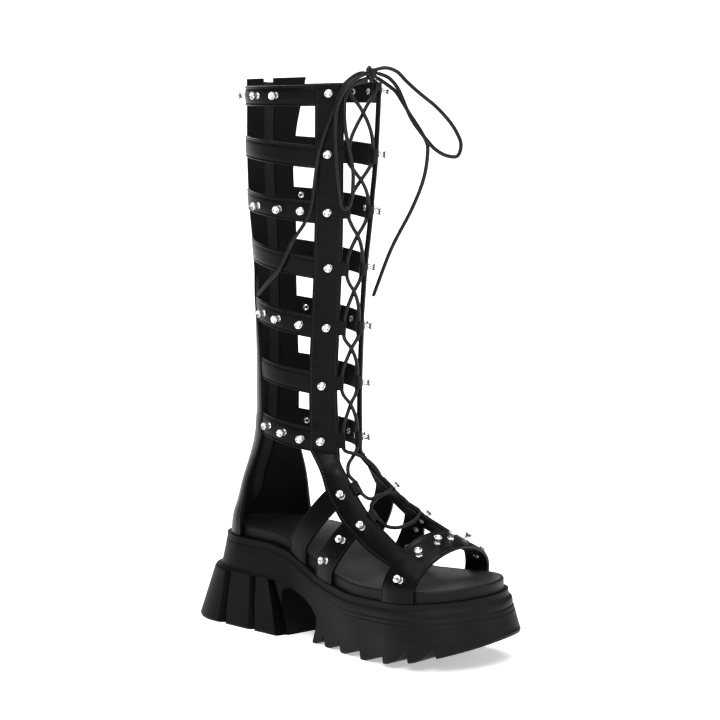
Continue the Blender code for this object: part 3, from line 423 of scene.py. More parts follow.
# %% Levels
# A level is an outline round the foot. Its "lift" is measured from the footbed's rim where "rim" is
# 1 and from the tread where it is 0. The columns after "back", which moves the whole heel end
# rearwards, say how far it stands outside the rim at the heel, breast, waist, ball and toe tip.
Level = namedtuple("Level", "rim lift back heel breast waist ball toe")
COLUMN_Y = [37.0, -9.0, -41.0, -105.0, -177.0]  # where those five columns hold
FULL_WIDTH = 0.04  # metres across from where on a cap dips fully


def level_height(level, x, y, rim_y):
    return level.rim * rim_height(x, rim_y) + (1 - level.rim) * tread_height(x, y) + level.lift


def grown_outline(side, level):
    """The half outline moved out by one level's columns: (x, y, y on the rim) for each point."""
    rim = half_outline(side)
    offsets, last, points = list(zip(COLUMN_Y, level[-5:])), len(rim) - 1, []
    for i, (x, y) in enumerate(rim):
        (x0, y0), (x1, y1) = rim[max(i - 1, 0)], rim[min(i + 1, last)]
        length = math.hypot(x1 - x0, y1 - y0)
        out_x, out_y = (y0 - y1) / length * side, (x1 - x0) / length * side
        if i in (0, last):
            out_x, out_y = 0.0, 1.0 if i == 0 else -1.0
        offset = smooth_value(offsets, y)
        back = level.back * clamp(y / HEEL_CENTRE_Y) ** 1.5
        points.append((x + out_x * offset, y + out_y * offset + back, y))
    return points


def quads(bm, a, b, kind=0):
    """Faces between two rows of corners."""
    for i in range(len(a) - 1):
        bm.faces.new((a[i], a[i + 1], b[i + 1], b[i])).material_index = kind


def wall(bm, levels, kind=0):
    """The wall through the levels. Returns the corners of each, as an inner and an outer half."""
    rows = [[[bm.verts.new(place(x, y, level_height(level, x, y, rim_y)))
              for x, y, rim_y in grown_outline(side, level)] for side in (-1, 1)] for level in levels]
    for upper, lower in zip(rows, rows[1:]):
        for above, below in zip(upper, lower):
            quads(bm, above, below, kind)
    return rows


def cap(bm, halves, shares, dip):
    """Closes a level with corners at the given shares of its width, which dip below its edge."""
    lines = []
    for a, b in zip(*halves):
        depth = dip * MM * min((a.co - b.co).length / FULL_WIDTH, 1.0)
        line = [a.co.lerp(b.co, s) - UP * (depth * min(5.6 * s * (1 - s), 1.0)) for s in shares]
        lines.append([a, *(bm.verts.new(corner) for corner in line), b])
    for a, b in zip(lines, lines[1:]):
        quads(bm, a, b)


print("rim:", len(half_outline(1)), "points a side")

# %% [markdown]
# ## The form of the upper
# The leg's part is a stack of rings and the foot's part a row of sections. Every strap is a slab
# laid on this form: it takes the form's point at an angle, and its thickness goes outwards along
# the form's own direction. So straps of any width sit on the same leg and meet without steps.

# %% Rings, bands and sections
# Rings of the shaft: height of the ring's middle, half width, half depth, the y of its middle and
# its tilt (rise per millimetre towards the back). All are taken on the inside of the leather. Each
# ring is an ellipse whose front is drawn out at the throat and pressed in behind the eyestays,
# because those stay flat: "throat" and "stay" are the half angles of both from the front, and
# "drawn" and "pressed" the ring's reach there as a share of the ellipse's. "sag" is how far the
# ring hangs lower on the outer side, and "trail" how much more of that it does towards the back.
Ring = namedtuple("Ring", "height half_width half_depth centre_y tilt throat stay drawn pressed sag trail")
SHAFT = table(Ring, [
    (407.0, 45.2, 49.4, -2.2, -0.050, 18.1, 41.7, 1.105, 0.982, 0.0, 0.00),
    (394.0, 45.0, 49.0, -2.0, -0.045, 17.9, 41.5, 1.108, 0.984, 0.0, 0.00),
    (354.0, 44.4, 48.0, -1.0, 0.070, 16.9, 40.5, 1.098, 0.968, 5.7, 0.10),
    (315.0, 42.8, 46.0, -0.5, 0.090, 15.0, 39.8, 1.088, 0.940, 4.3, 0.05),
    (277.0, 38.6, 42.4, 0.3, 0.170, 13.5, 40.6, 1.094, 0.938, 7.2, 0.33),
    (234.0, 34.9, 40.2, 1.0, 0.178, 14.3, 43.8, 1.098, 0.956, 6.3, 0.34),
    (193.0, 32.8, 39.6, 1.7, 0.175, 15.6, 46.4, 1.088, 0.972, 6.3, 0.59),
    (151.0, 31.5, 41.0, 2.5, 0.190, 14.6, 46.9, 1.098, 0.982, 6.7, 0.77),
    (143.0, 31.5, 41.2, 2.6, 0.190, 14.2, 46.6, 1.100, 0.983, 6.7, 0.77),
])

# The straps round the shaft, at the middle of their rings.
BANDS = table(namedtuple("Band", "name top bottom"), [
    ("collar_band", 401.0, 386.4),
    ("band_2", 362.3, 346.6),
    ("band_3", 322.8, 307.6),
    ("band_4", 284.8, 269.4),
    ("band_5", 242.2, 225.8),
    ("band_6", 200.9, 184.7),
    ("band_7", 160.2, 143.0),
])

# Sections of the foot: the point on the instep, the point between the two rim points, how far the
# rim points are skewed (inner side forward), and the half angles of the lace throat and the eyestay.
Section = namedtuple("Section", "name front_y front_z side_y side_z skew throat stay")
FOOT = table(Section, [
    ("ankle", -45.4, 131.0, -7.0, 108.0, 0.0, 18.0, 43.2),
    ("side_strap_1_rear", -54.0, 125.4, -15.7, 74.0, 0.0, 21.7, 45.4),
    ("side_strap_1_front", -69.6, 115.0, -33.6, 68.0, 0.0, 27.0, 51.0),
    ("side_strap_2_rear", -79.0, 108.6, -46.6, 62.5, 0.0, 29.4, 53.4),
    ("side_strap_2_front", -93.4, 100.4, -66.3, 54.6, 0.0, 31.6, 54.0),
    ("vamp", -108.6, 93.4, -92.0, 52.0, 3.0, 34.0, 57.5),
    ("toe_strap_rear", -125.4, 87.2, -117.0, 52.6, 7.3, 40.0, 63.0),
    ("toe_strap_front", -149.4, 79.0, -142.0, 54.0, 9.7, 40.0, 63.0),
])
ANKLE_HALF_WIDTH = 32.6  # above the rim, where the insole doesn't set the width

# Sections of the counter, from the last band down to the sole: half width, half depth to the back
# and the y of the middle.
COUNTER = table(namedtuple("Counter", "height half_width half_depth centre_y"), [
    (143.0, 31.5, 41.2, 2.6),
    (134.0, 30.7, 38.4, 8.0),
    (124.0, 30.0, 35.8, 14.6),
    (108.0, 30.2, 33.0, 24.6),
    (92.0, 31.0, 31.4, 31.0),
    (77.0, 32.2, 32.2, 35.6),
    (67.4, 32.3, 32.3, 36.5),
])

# Half angles from the back that the back panel covers on each side, and the counter below it. On
# the inner side the counter's wing starts higher up.
COVER = table(namedtuple("Cover", "height inner outer"), [
    (407.0, 32.0, 37.5),
    (386.0, 32.3, 33.0),
    (364.0, 32.8, 28.6),
    (335.0, 33.6, 26.0),
    (296.0, 35.0, 28.3),
    (262.0, 36.0, 28.8),
    (245.0, 44.0, 29.6),
    (222.0, 62.0, 31.4),
    (180.0, 68.0, 35.0),
    (143.0, 69.0, 38.0),
    (134.0, 69.0, 42.0),
    (124.0, 70.0, 51.0),
    (108.0, 72.0, 66.0),
    (92.0, 77.0, 76.0),
    (77.0, 84.0, 84.0),
    (67.4, 86.0, 86.0),
])
print("tables:", len(SHAFT), len(BANDS), len(FOOT), len(COUNTER), len(COVER), "rows")

# %% Form
Row = namedtuple("Row", "front side back inner outer throat stay panel skew drawn pressed sag trail",
                 defaults=((90.0, 90.0), 0.0, 1.0, 1.0, 0.0, 0.0))


@lru_cache(maxsize=None)
def shaft_row(height):
    """The row of the form round the shaft whose middle is at one height."""
    ring = {column: read_table(SHAFT, "height", column, height) for column in Ring._fields[1:]}
    half, depth, centre = ring.pop("half_width"), ring.pop("half_depth"), ring.pop("centre_y")
    rise = ring.pop("tilt") * depth
    panel = tuple(180.0 - read_table(COVER, "height", side, height) for side in ("inner", "outer"))
    return Row((centre - depth, height - rise), (centre, height), (centre + depth, height + rise),
               half, half, panel=panel, **ring)


def foot_row(section):
    """The row of the form over the foot, whose rim points stand just outside the insole."""
    rim = [2 * GAP + side * rim_x(side, section.side_y + side * section.skew) for side in (-1, 1)]
    if section.name == "ankle":
        rim = [ANKLE_HALF_WIDTH] * 2
    side = (section.side_y, section.side_z)
    return Row((section.front_y, section.front_z), side, side, *rim, section.throat, section.stay,
               skew=section.skew)


def strap_row(name, share):
    """The row over the foot, from a strap's rear edge (0) to its front edge (1)."""
    rear, front = [next(s for s in FOOT if s.name == f"{name}_{end}") for end in ("rear", "front")]
    return foot_row(Section("between", *mixed(rear[1:], front[1:], share)))


def sagged(row, across, ahead):
    return row.sag * (1 + across) / 2 * (1 - row.trail * ahead)


def form_point(row, angle):
    """The point of a row at an angle in degrees: 0 at the front, positive on the outer side."""
    turn = math.radians(angle)
    reach = smooth_value([(row.throat, row.drawn), (row.stay, row.pressed), (ROUND_FROM, 1.0)], abs(angle))
    across, ahead = math.sin(turn) * reach, math.cos(turn) * reach
    end = row.front if ahead >= 0 else row.back
    x = (row.outer - row.inner) / 2 + (row.outer + row.inner) / 2 * across
    y, z = [side + abs(ahead) * (far - side) for side, far in zip(row.side, end)]
    return Vector((x, y + row.skew * across, z - sagged(row, across, ahead)))


def counter_point(height, angle):
    """A point of the counter, by its height and its angle from the back, positive outwards."""
    across, back = math.sin(math.radians(angle)), math.cos(math.radians(angle))
    half_width, half_depth, centre = [read_table(COUNTER, "height", column, height)
                                      for column in ("half_width", "half_depth", "centre_y")]
    above = shaft_row(ANKLE_HEIGHT)
    lift = (above.back[1] - above.side[1]) * back - sagged(above, across, -back)
    blend = clamp((height - 100.0) / 43.0)
    return Vector((half_width * across, centre + half_depth * back, height + lift * blend))


print("form:", len(SHAFT), "rings and", len(FOOT), "sections")

# %% [markdown]
# ## The sole's and the studs' tables
# The sole's wall is drawn as levels from the footbed down. The arch, the teeth of the tread and the
# grooves between the heel's lobes are outlines that are cut out of it later.

# %% Sole tables
SOLE_LEVELS = table(Level, [
    (1, -RIM_HEIGHT - GAP, 1.8, 5.8, 4.6, 3.4, 3.2, 3.2),
    (1, -13.0, 2.0, 6.0, 4.7, 3.6, 3.4, 3.8),
    (1, -13.6, 2.2, 6.3, 5.0, 4.1, 4.4, 6.2),
    (1, -17.6, 2.6, 6.6, 5.2, 4.3, 4.6, 7.0),
    (1, -18.6, 2.8, 6.7, 5.25, 4.1, 4.15, 6.7),
    (1, -19.8, 3.0, 6.8, 5.3, 4.15, 4.6, 7.8),
    (1, -21.6, 3.5, 6.86, 5.43, 4.0, 4.5, 8.45),
    (1, -22.1, 3.6, 6.87, 5.45, 3.95, 4.1, 8.05),
    (1, -22.6, 3.75, 6.88, 5.48, 3.92, 4.45, 8.8),
    (1, -32.5, 6.4, 7.2, 6.2, 3.0, 4.0, 12.3),
    (1, -33.5, 11.6, 8.4, 6.4, 2.9, 3.9, 12.7),
    (0, 2.0, 27.3, 10.3, 8.4, 1.4, 2.9, 14.2),
    (0, 0.0, 27.1, 9.4, 7.6, 0.8, 2.2, 13.6),
])
# The opening between the heel and the forefoot, seen from the side: y and z.
ARCH = [(-9.6, -2.0), (-10.6, 34.5), (-13.6, 38.5), (-22.0, 36.6), (-32.0, 32.6), (-41.0, 26.6),
        (-46.4, 20.0), (-46.0, 14.0), (-39.0, -2.0)]
TOOTH_TIPS = [-39.0, -56.5, -77.0, -102.5, -129.5, -154.0, -172.5]
TIP_FLAT, TOOTH_DEPTH = 4.5, 9.5
INNER_EDGE = -40.0  # the x at which the teeth follow the tread


def tooth_outlines():
    """One outline for each notch of the sawtooth tread: a scoop that ends in a steep wall."""
    outlines = []
    for tip, after in zip(TOOTH_TIPS, TOOTH_TIPS[1:]):
        start, end, end_foot = tip - TIP_FLAT, after + 0.8, tread_height(INNER_EDGE, after)
        foot, top = tread_height(INNER_EDGE, start), end_foot + TOOTH_DEPTH
        bend = (start + 0.55 * (end - start), foot + 0.34 * (top - foot))
        outlines.append([(start, foot - 3.0), (start, foot - 0.2), bend, (end, top),
                         (end - 0.6, end_foot - 3.0)])
    return outlines


print("sole:", len(SOLE_LEVELS), "levels and", len(tooth_outlines()), "notches")

# %% Heel grooves
# Grooves between the heel's lobes: where each cuts the wall at the ledge and at the floor.
GROOVES = table(namedtuple("Groove", "side top_x top_y foot_x foot_y turn"), [
    (-1, 38.5, 21.0, 41.5, 21.0, 90.0),
    (-1, 39.0, 48.0, 41.8, 54.0, 94.0),
    (-1, 24.0, 74.0, 29.0, 91.5, 142.0),
    (-1, 37.6, 2.0, 36.0, -10.8, 66.0),
    (1, 39.2, 21.0, 42.5, 21.0, 90.0),
    (1, 39.2, 48.0, 42.0, 54.0, 94.0),
    (1, 24.0, 74.0, 29.0, 91.5, 142.0),
    (1, 0.0, 85.6, 0.0, 103.5, 180.0),
    (1, 40.4, 2.0, 39.0, -10.8, 66.0),
])
GROOVE_REACH, GROOVE_DEPTH = 6.0, 6.2  # how far each wedge stands out of the wall and goes into it
# The two ends of a wedge: height, and half its width at its outer side.
WEDGE_TOP, WEDGE_FOOT = (HEEL_HEIGHT - 34.4, 6.144), (-1.0, 9.216)


def groove_wedge(groove):
    """The two ends of a V-shaped bar that leans along the wall from the ledge to the floor."""
    turn = math.radians(groove.turn)
    out = Vector((groove.side * math.sin(turn), -math.cos(turn), 0.0))
    across = Vector((-out.y, out.x, 0.0))
    ends = []
    for x, y, (z, half) in ((groove.top_x, groove.top_y, WEDGE_TOP),
                            (groove.foot_x, groove.foot_y, WEDGE_FOOT)):
        face = Vector((groove.side * x, y, z))
        outside = face + out * GROOVE_REACH
        ends.append([face - out * GROOVE_DEPTH, outside + across * half, outside - across * half])
    return ends


print("heel grooves:", len(GROOVES))

# %% Stud tables
# Studs on each side of the shaft's bands: the angle from the front, and how far the stud stands
# above the middle of the band. The rearmost ones of four bands come last.
BAND_STUDS = [
    ("collar_band", [(28.8, 1.3), (76.0, 0.4), (97.0, 0.4)]), ("band_2", [(28.3, 3.4)]),
    ("band_3", [(26.7, 1.7), (53.1, 0.7), (73.3, -0.3), (98.0, -1.0)]), ("band_4", [(24.5, 3.0)]),
    ("band_5", [(26.0, 2.2), (56.0, 0.6), (80.0, 0.7), (102.0, 0.4)]), ("band_6", [(30.7, 0.0)]),
    ("band_7", [(33.0, 0.9), (56.0, -0.5), (76.0, 0.3)]),
]
REAR_STUDS = [("collar_band", [(128.0, 0.4)]), ("band_3", [(147.0, 1.6)]), ("band_5", [(140.0, 0.6)]),
              ("band_7", [(97.0, 0.6), (134.0, 0.6)])]
# Studs over the foot: the strap, how far each stands from its rear edge (0) to its front edge (1),
# and its angle. Those of the side straps stand on both sides.
SIDE_STUDS = [("side_strap_1", 0.81, 38.6), ("side_strap_2", 0.97, 43.5), ("side_strap_2", 0.66, 62.1),
              ("side_strap_2", 0.51, 84.0)]
TOE_STUDS = [("toe_strap", 0.56, angle) for angle in (-73.6, -39.0, -14.2, 4.6, 29.4, 64.0)]
print("places for studs on the bands:", sum(len(row) for _, row in BAND_STUDS + REAR_STUDS))

# %% [markdown]
# ## Straps as slabs on the form
# A strap is cut from leather, its edges are folded over and stitched down, so each edge is a round
# bead with a shallow groove inside it. `strap` makes that: it samples a sheet, finds the way out of
# the form at every station and lays one closed cross-section after the other along it.

# %% Edges
# Each row: how far in from the edge, the share of the thickness, and what is added to it, in mm.
PIPED = [(0.9, 0.0, 0.0), (0.15, 0.0, 0.15), (0.0, 0.3, 0.0), (0.0, 0.7, 0.0), (0.25, 1.0, -0.1),
         (0.75, 1.0, 0.12), (1.3, 1.0, 0.02), (1.7, 1.0, -0.3), (2.2, 1.0, -0.24), (3.0, 1.0, -0.05)]
TURNED = [(0.7, 0.0, 0.0), (0.1, 0.0, 0.15), (0.0, 0.3, 0.0), (0.0, 0.72, 0.0), (0.25, 1.0, -0.2),
          (0.8, 1.0, 0.0), (1.5, 1.0, -0.02), (2.1, 1.0, -0.16), (2.7, 1.0, -0.02)]
SEAM = [(0.3, 0.0, 0.0), (0.04, 0.0, 0.1), (0.04, 0.5, 0.0), (0.1, 1.0, -0.6), (0.6, 1.0, -0.15),
        (1.4, 1.0, 0.0)]


def core(point):
    """A point inside the boot level with a given point of its form."""
    if point.z > ANKLE_HEIGHT:
        return Vector((0.0, 0.0, point.z))
    return Vector((0.0, 15.0, point.z)) if point.y > 5.0 else Vector((0.0, point.y + 12.0, 50.0))


def ways_out(grid):
    """The unit way out of the form at every point of a grid of points."""
    tall, wide = len(grid) - 1, len(grid[0]) - 1
    ways = []
    for i, row in enumerate(grid):
        above, below = grid[min(i + 1, tall)], grid[max(i - 1, 0)]
        ways.append([(above[j] - below[j]).cross(row[min(j + 1, wide)] - row[max(j - 1, 0)]).normalized()
                     for j in range(wide + 1)])
    i, j = (tall + 1) // 2, (wide + 1) // 2
    if ways[i][j].dot(grid[i][j] - core(grid[i][j])) < 0:
        ways = [[-way for way in row] for row in ways]
    return ways


print("corners of the three edges:", len(PIPED), len(TURNED), len(SEAM))

# %% Laying a strap
def loft(bm, rings, kinds=None, loop=False):
    """Quads between rings of corners, with a cap at each end unless the rings close on themselves."""
    rows = [[bm.verts.new(place(*corner)) for corner in ring] for ring in rings]
    pairs = list(zip(rows, rows[1:])) + ([(rows[-1], rows[0])] if loop else [])
    for a, b in pairs:
        for i in range(len(a)):
            k = (i + 1) % len(a)
            bm.faces.new((a[i], a[k], b[k], b[i])).material_index = kinds[i] if kinds else 0
    if not loop:
        bm.faces.new(rows[0])
        bm.faces.new(reversed(rows[-1]))


def strap(bm, sheet, stations, thick, edges, cells, middle, relief):
    """One strap: sheet(u, t) is its inner face, with t from one edge (0) to the other (1)."""
    grid = [[sheet(u, k / cells) for k in range(cells + 1)] for u in stations]
    first, second = edges
    rings = []
    for u, row, out in zip(stations, grid, ways_out(grid)):
        width = lengths(row)[-1]
        profile = [(inset / width, share, extra) for inset, share, extra in first]
        start, stop = profile[-1][0], 1 - second[-1][0] / width
        profile += [(t, 1.0, 0.0) for t in spread(start, stop, middle + 1)[1:-1]]
        profile += [(1 - inset / width, share, extra) for inset, share, extra in reversed(second)]
        profile += [(t, 0.0, 0.0) for t in (0.75, 0.5, 0.25)]
        ring = []
        for t, share, extra in profile:
            k = min(int(t * cells), cells - 1)
            part = t * cells - k
            proud = share * thick + extra + (relief(u, t) if share == 1.0 else 0.0)
            ring.append(row[k].lerp(row[k + 1], part) + out[k].lerp(out[k + 1], part).normalized() * proud)
        rings.append(ring)
    shares = [share for _, share, _ in profile]
    lined = [int(a == b == 0.0) for a, b in zip(shares, shares[1:] + shares[:1])]
    loft(bm, rings, lined)


print("a piped edge stands out by", max(extra for _, _, extra in PIPED), "mm")

# %% Making a piece
def shaded(made, finishes, sharp):
    """Gives an object its finishes and smooths it, except where it folds sharply (in degrees)."""
    for used in finishes:
        made.data.materials.append(used)
    if sharp:
        made.data.shade_smooth()
        made.data.set_sharp_from_angle(angle=math.radians(sharp))
    return made


def piece_from(bm, name, finishes=(), sharp=48.0):
    """The piece itself, with its faces turned outwards."""
    bmesh.ops.recalc_face_normals(bm, faces=bm.faces)
    mesh = bpy.data.meshes.new(name)
    bm.to_mesh(mesh)
    bm.free()
    return shaded(put(name, mesh), finishes, sharp)


def plain_copy(source, name, finishes, sharp=None):
    """The evaluated shape of an object as a plain mesh of its own, in place of that object."""
    bpy.context.view_layer.update()
    mesh = bpy.data.meshes.new_from_object(source.evaluated_get(bpy.context.evaluated_depsgraph_get()))
    mesh.name = name
    mesh.materials.clear()
    bpy.data.objects.remove(source, do_unlink=True)
    return shaded(put(name, mesh), finishes, sharp)


print("pieces so far:", sum(made.type == "MESH" for made in bpy.data.objects))

# %% Soft folds
# Soft troughs and ridges pressed into the leather by wear: the part and its side, the place along
# it and the share across it, the height of the fold, and its reach along and across.
Fold = namedtuple("Fold", "part side at share height reach spread")
FOLDS = table(Fold, [
    ("band_3", -1, 62.0, 0.35, -0.30, 9.0, 0.25), ("band_3", -1, 88.0, 0.6, 0.22, 12.0, 0.3),
    ("band_5", -1, 52.0, 0.3, -0.28, 8.0, 0.22), ("band_5", -1, 90.0, 0.55, 0.25, 14.0, 0.3),
    ("band_6", -1, 60.0, 0.5, -0.32, 10.0, 0.3), ("band_7", -1, 66.0, 0.4, 0.25, 10.0, 0.25),
    ("band_2", -1, 70.0, 0.5, -0.25, 12.0, 0.3), ("band_4", -1, 66.0, 0.45, -0.28, 11.0, 0.3),
    ("collar_band", -1, 55.0, 0.5, 0.2, 12.0, 0.3), ("band_3", 1, 64.0, 0.5, -0.28, 9.0, 0.3),
    ("band_5", 1, 70.0, 0.45, 0.26, 12.0, 0.3), ("band_7", 1, 64.0, 0.5, -0.3, 9.0, 0.3),
    ("band_2", 1, 88.0, 0.5, -0.28, 12.0, 0.3), ("band_6", 1, 78.0, 0.5, -0.3, 10.0, 0.3),
    ("collar_band", 1, 100.0, 0.5, -0.2, 12.0, 0.3), ("band_4", 1, 84.0, 0.4, 0.22, 9.0, 0.3),
    ("back_panel", -1, 246.0, 0.3, -0.5, 6.0, 0.35), ("back_panel", -1, 262.0, 0.25, 0.4, 7.0, 0.3),
    ("back_panel", 1, 250.0, 0.3, -0.5, 6.0, 0.35), ("back_panel", 1, 268.0, 0.3, 0.4, 7.0, 0.3),
    ("back_panel", -1, 130.0, 0.6, -0.3, 9.0, 0.4), ("back_panel", 1, 120.0, 0.6, -0.3, 9.0, 0.4),
    ("back_panel", -1, 292.0, 0.55, -0.35, 8.0, 0.3), ("back_panel", 1, 286.0, 0.5, -0.35, 8.0, 0.3),
])


def relief_of(part, side, crown=0.0):
    """Height over the form: a crown between two edges, and the part's own folds."""
    folds = [fold for fold in FOLDS if (fold.part, fold.side) == (part, side)]

    def relief(at, share):
        return crown * (1 - (2 * share - 1) ** 2) + sum(
            fold.height * bell((at - fold.at) / fold.reach) * bell((share - fold.share) / fold.spread)
            for fold in folds)
    return relief


print("folds:", len(FOLDS))

# %% [markdown]
# ## Bands round the leg
# Seven bands are cut slightly curved, so they fall towards the outer side as they go round. They
# run in under the eyestay in front and under the back panel behind, where they are sewn down.

# %% Bands
def band_sheet(band, side):
    def sheet(angle, share):
        return form_point(shaft_row(band.top + (band.bottom - band.top) * share), side * angle)
    return sheet


bm = bmesh.new()
for band in BANDS:
    middle_row = shaft_row((band.top + band.bottom) / 2)
    for side in (-1, 1):
        first, last = middle_row.stay - 6.0, middle_row.panel[side > 0] + 5.0
        strap(bm, band_sheet(band, side), spread(first, last, round((last - first) / 2.4)), LEATHER,
              (PIPED, PIPED), 4, 5, relief_of(band.name, side, 0.14))
bands = piece_from(bm, "leg_bands", (leather, lining))
print("bands:", len(bands.data.polygons), "faces")

# %% [markdown]
# ## Eyestays
# One long stay runs down each side of the throat, from the collar to the toe strap. It lies over
# the ends of the bands, so it stands a little proud of them and sinks slightly between them.

# %% Eyestays
def faired(keys, at):
    """A point of a smooth curve through (place, point) pairs, with slopes that suit uneven spacing."""
    last = len(keys) - 1
    k = max([i for i in range(last) if keys[i][0] <= at] or [0])

    def slope(i):
        steps = [(keys[j + 1][1] - keys[j][1]) / (keys[j + 1][0] - keys[j][0])
                 for j in (max(i - 1, 0), min(i, last - 1))]
        before = keys[i][0] - keys[max(i - 1, 0)][0]
        after = keys[min(i + 1, last)][0] - keys[i][0]
        return (steps[0] * after + steps[1] * before) / (before + after)

    (a, low), (b, high) = keys[k], keys[k + 1]
    t, reach = (at - a) / (b - a), b - a
    return (low * (1 + 2 * t) * (1 - t) ** 2 + slope(k) * reach * t * (1 - t) ** 2
            + high * (3 - 2 * t) * t * t + slope(k + 1) * reach * t * t * (t - 1))


# The rows that the stay runs over, and how far down it each is along its middle.
SHAFT_ROWS = 24
STAY_ROWS = [shaft_row(h) for h in spread(COLLAR, ANKLE_HEIGHT, SHAFT_ROWS)] + [foot_row(s) for s in FOOT]
STAY_PLACES = lengths([form_point(row, (row.throat + row.stay) / 2) for row in STAY_ROWS])
STAY_END = STAY_PLACES[-2] + 0.25 * (STAY_PLACES[-1] - STAY_PLACES[-2])
SHAFT_LENGTH = STAY_PLACES[SHAFT_ROWS]


def stay_sheet(side):
    @lru_cache(maxsize=None)
    def keys(share):
        return [(at, form_point(row, side * (row.throat + (row.stay - row.throat) * share)))
                for at, row in zip(STAY_PLACES, STAY_ROWS)]

    def sheet(at, share):
        return faired(keys(share), at)
    return sheet


# Where the stay lies over a strap, as (first, last) places down the stay.
UNDER = [tuple((COLLAR - z) / (COLLAR - ANKLE_HEIGHT) * SHAFT_LENGTH for z in (band.top, band.bottom))
         for band in BANDS] + [tuple(STAY_PLACES[26:28]), tuple(STAY_PLACES[28:30])]
FOLDS += table(Fold, [
    ("eyestay", -1, SHAFT_LENGTH + 9.0, 0.45, -0.7, 3.0, 0.6),
    ("eyestay", -1, SHAFT_LENGTH + 15.0, 0.4, 0.5, 4.0, 0.5),
    ("eyestay", 1, SHAFT_LENGTH + 12.0, 0.5, -0.6, 4.0, 0.6), ("eyestay", -1, 60.0, 0.5, -0.25, 7.0, 0.5),
    ("eyestay", -1, 104.0, 0.4, 0.22, 6.0, 0.5), ("eyestay", -1, 190.0, 0.6, -0.25, 8.0, 0.5),
    ("eyestay", 1, 80.0, 0.5, -0.3, 7.0, 0.5), ("eyestay", 1, 170.0, 0.5, -0.3, 8.0, 0.5),
])


def stay_relief(side):
    folds = relief_of("eyestay", side)

    def relief(at, share):
        over = max(min(at - a, b - at) for a, b in UNDER)
        return folds(at, share) - 0.45 * clamp(-over / 4.0) * clamp((share - 0.35) / 0.5)
    return relief


bm = bmesh.new()
for side in (-1, 1):
    strap(bm, stay_sheet(side), spread(0.0, STAY_END, 230), LEATHER + OVERLAY, (PIPED, TURNED), 10, 7,
          stay_relief(side))
eyestays = piece_from(bm, "eyestays", (leather, lining))
print("eyestays:", round(STAY_END), "mm long")

# %% [markdown]
# ## Back panel and counter
# Two halves meet at the centre back. The zip closes them down to above the heel, and a seam below
# it. On the inner side the panel widens into a wing that hides the ends of the lower bands.

# %% Back halves
PANEL_TOP, PANEL_FOOT = 406.0, 67.4
PANEL_LENGTH = PANEL_TOP - PANEL_FOOT


def back_sheet(side):
    def sheet(down, share):
        height = min(PANEL_TOP - down, PANEL_TOP)
        on_shaft = height >= ANKLE_HEIGHT
        cover = read_table(COVER, "height", "inner" if side < 0 else "outer", height)
        reach = shaft_row(height).inner if on_shaft else read_table(COUNTER, "height", "half_width", height)
        centre = math.degrees(math.asin(ZIP_HALF / reach)) * clamp((height - ZIP_FOOT + 5.0) / 8.0)
        angle = side * (cover + (centre - cover) * share)
        if on_shaft:
            return form_point(shaft_row(height), side * 180.0 - angle)
        return counter_point(max(height, PANEL_FOOT), angle)
    return sheet


bm = bmesh.new()
for side in (-1, 1):
    strap(bm, back_sheet(side), spread(0.0, PANEL_LENGTH, 120), LEATHER + OVERLAY, (PIPED, SEAM), 12, 9,
          relief_of("back_panel", side))
back_halves = piece_from(bm, "back_panel", (leather, lining))
print("back panel:", round(PANEL_LENGTH), "mm long")

# %% [markdown]
# ## Straps over the foot
# Two straps leave each eyestay and go down outside the footbed, onto the sole's first ledge. The
# toe strap is one wide piece from rim to rim, and the eyestays end under its rear edge.

# %% Foot straps
RIM_ANGLE, TUCK_ANGLE = 90.0, 110.0  # where a strap passes the rim, and where it ends below it


def foot_sheet(name):
    """A strap by its signed angle; past the rim it goes straight down to the sole's ledge."""
    def sheet(angle, share):
        row = strap_row(name, share)
        x, y, z = point = form_point(row, max(min(angle, RIM_ANGLE), -RIM_ANGLE))
        past = max(abs(angle) - RIM_ANGLE, 0.0) / (TUCK_ANGLE - RIM_ANGLE)
        return point + UP * ((rim_height(x, y) - RIM_HEIGHT + GAP - z) * past)
    return sheet


def flipped(sheet, side):
    return lambda angle, share: sheet(side * angle, share)


past_rim = spread(RIM_ANGLE, TUCK_ANGLE, 6)
bm = bmesh.new()
for side in (-1, 1):
    for name in ("side_strap_1", "side_strap_2"):
        start = strap_row(name, 0.5).stay - 8.0
        strap(bm, flipped(foot_sheet(name), side), spread(start, RIM_ANGLE, 30) + past_rim[1:], LEATHER,
              (PIPED, PIPED), 6, 5, relief_of(name, side, 0.2))
side_straps = piece_from(bm, "side_straps", (leather, lining))

bm = bmesh.new()
strap(bm, foot_sheet("toe_strap"), [-turn for turn in reversed(past_rim)]
      + spread(-RIM_ANGLE, RIM_ANGLE, 90)[1:-1] + past_rim, LEATHER + 0.25, (PIPED, PIPED), 8, 8,
      relief_of("toe_strap", 0, 0.25))
toe_strap = piece_from(bm, "toe_strap", (leather, lining))
print("foot straps:", len(side_straps.data.polygons) + len(toe_strap.data.polygons), "faces")

# %% [markdown]
# ## Footbed
# The footbed is a padded board wrapped in soft sheet. Its rim is rolled over, and the top dips a
# little between the rims as foam does under its cover.

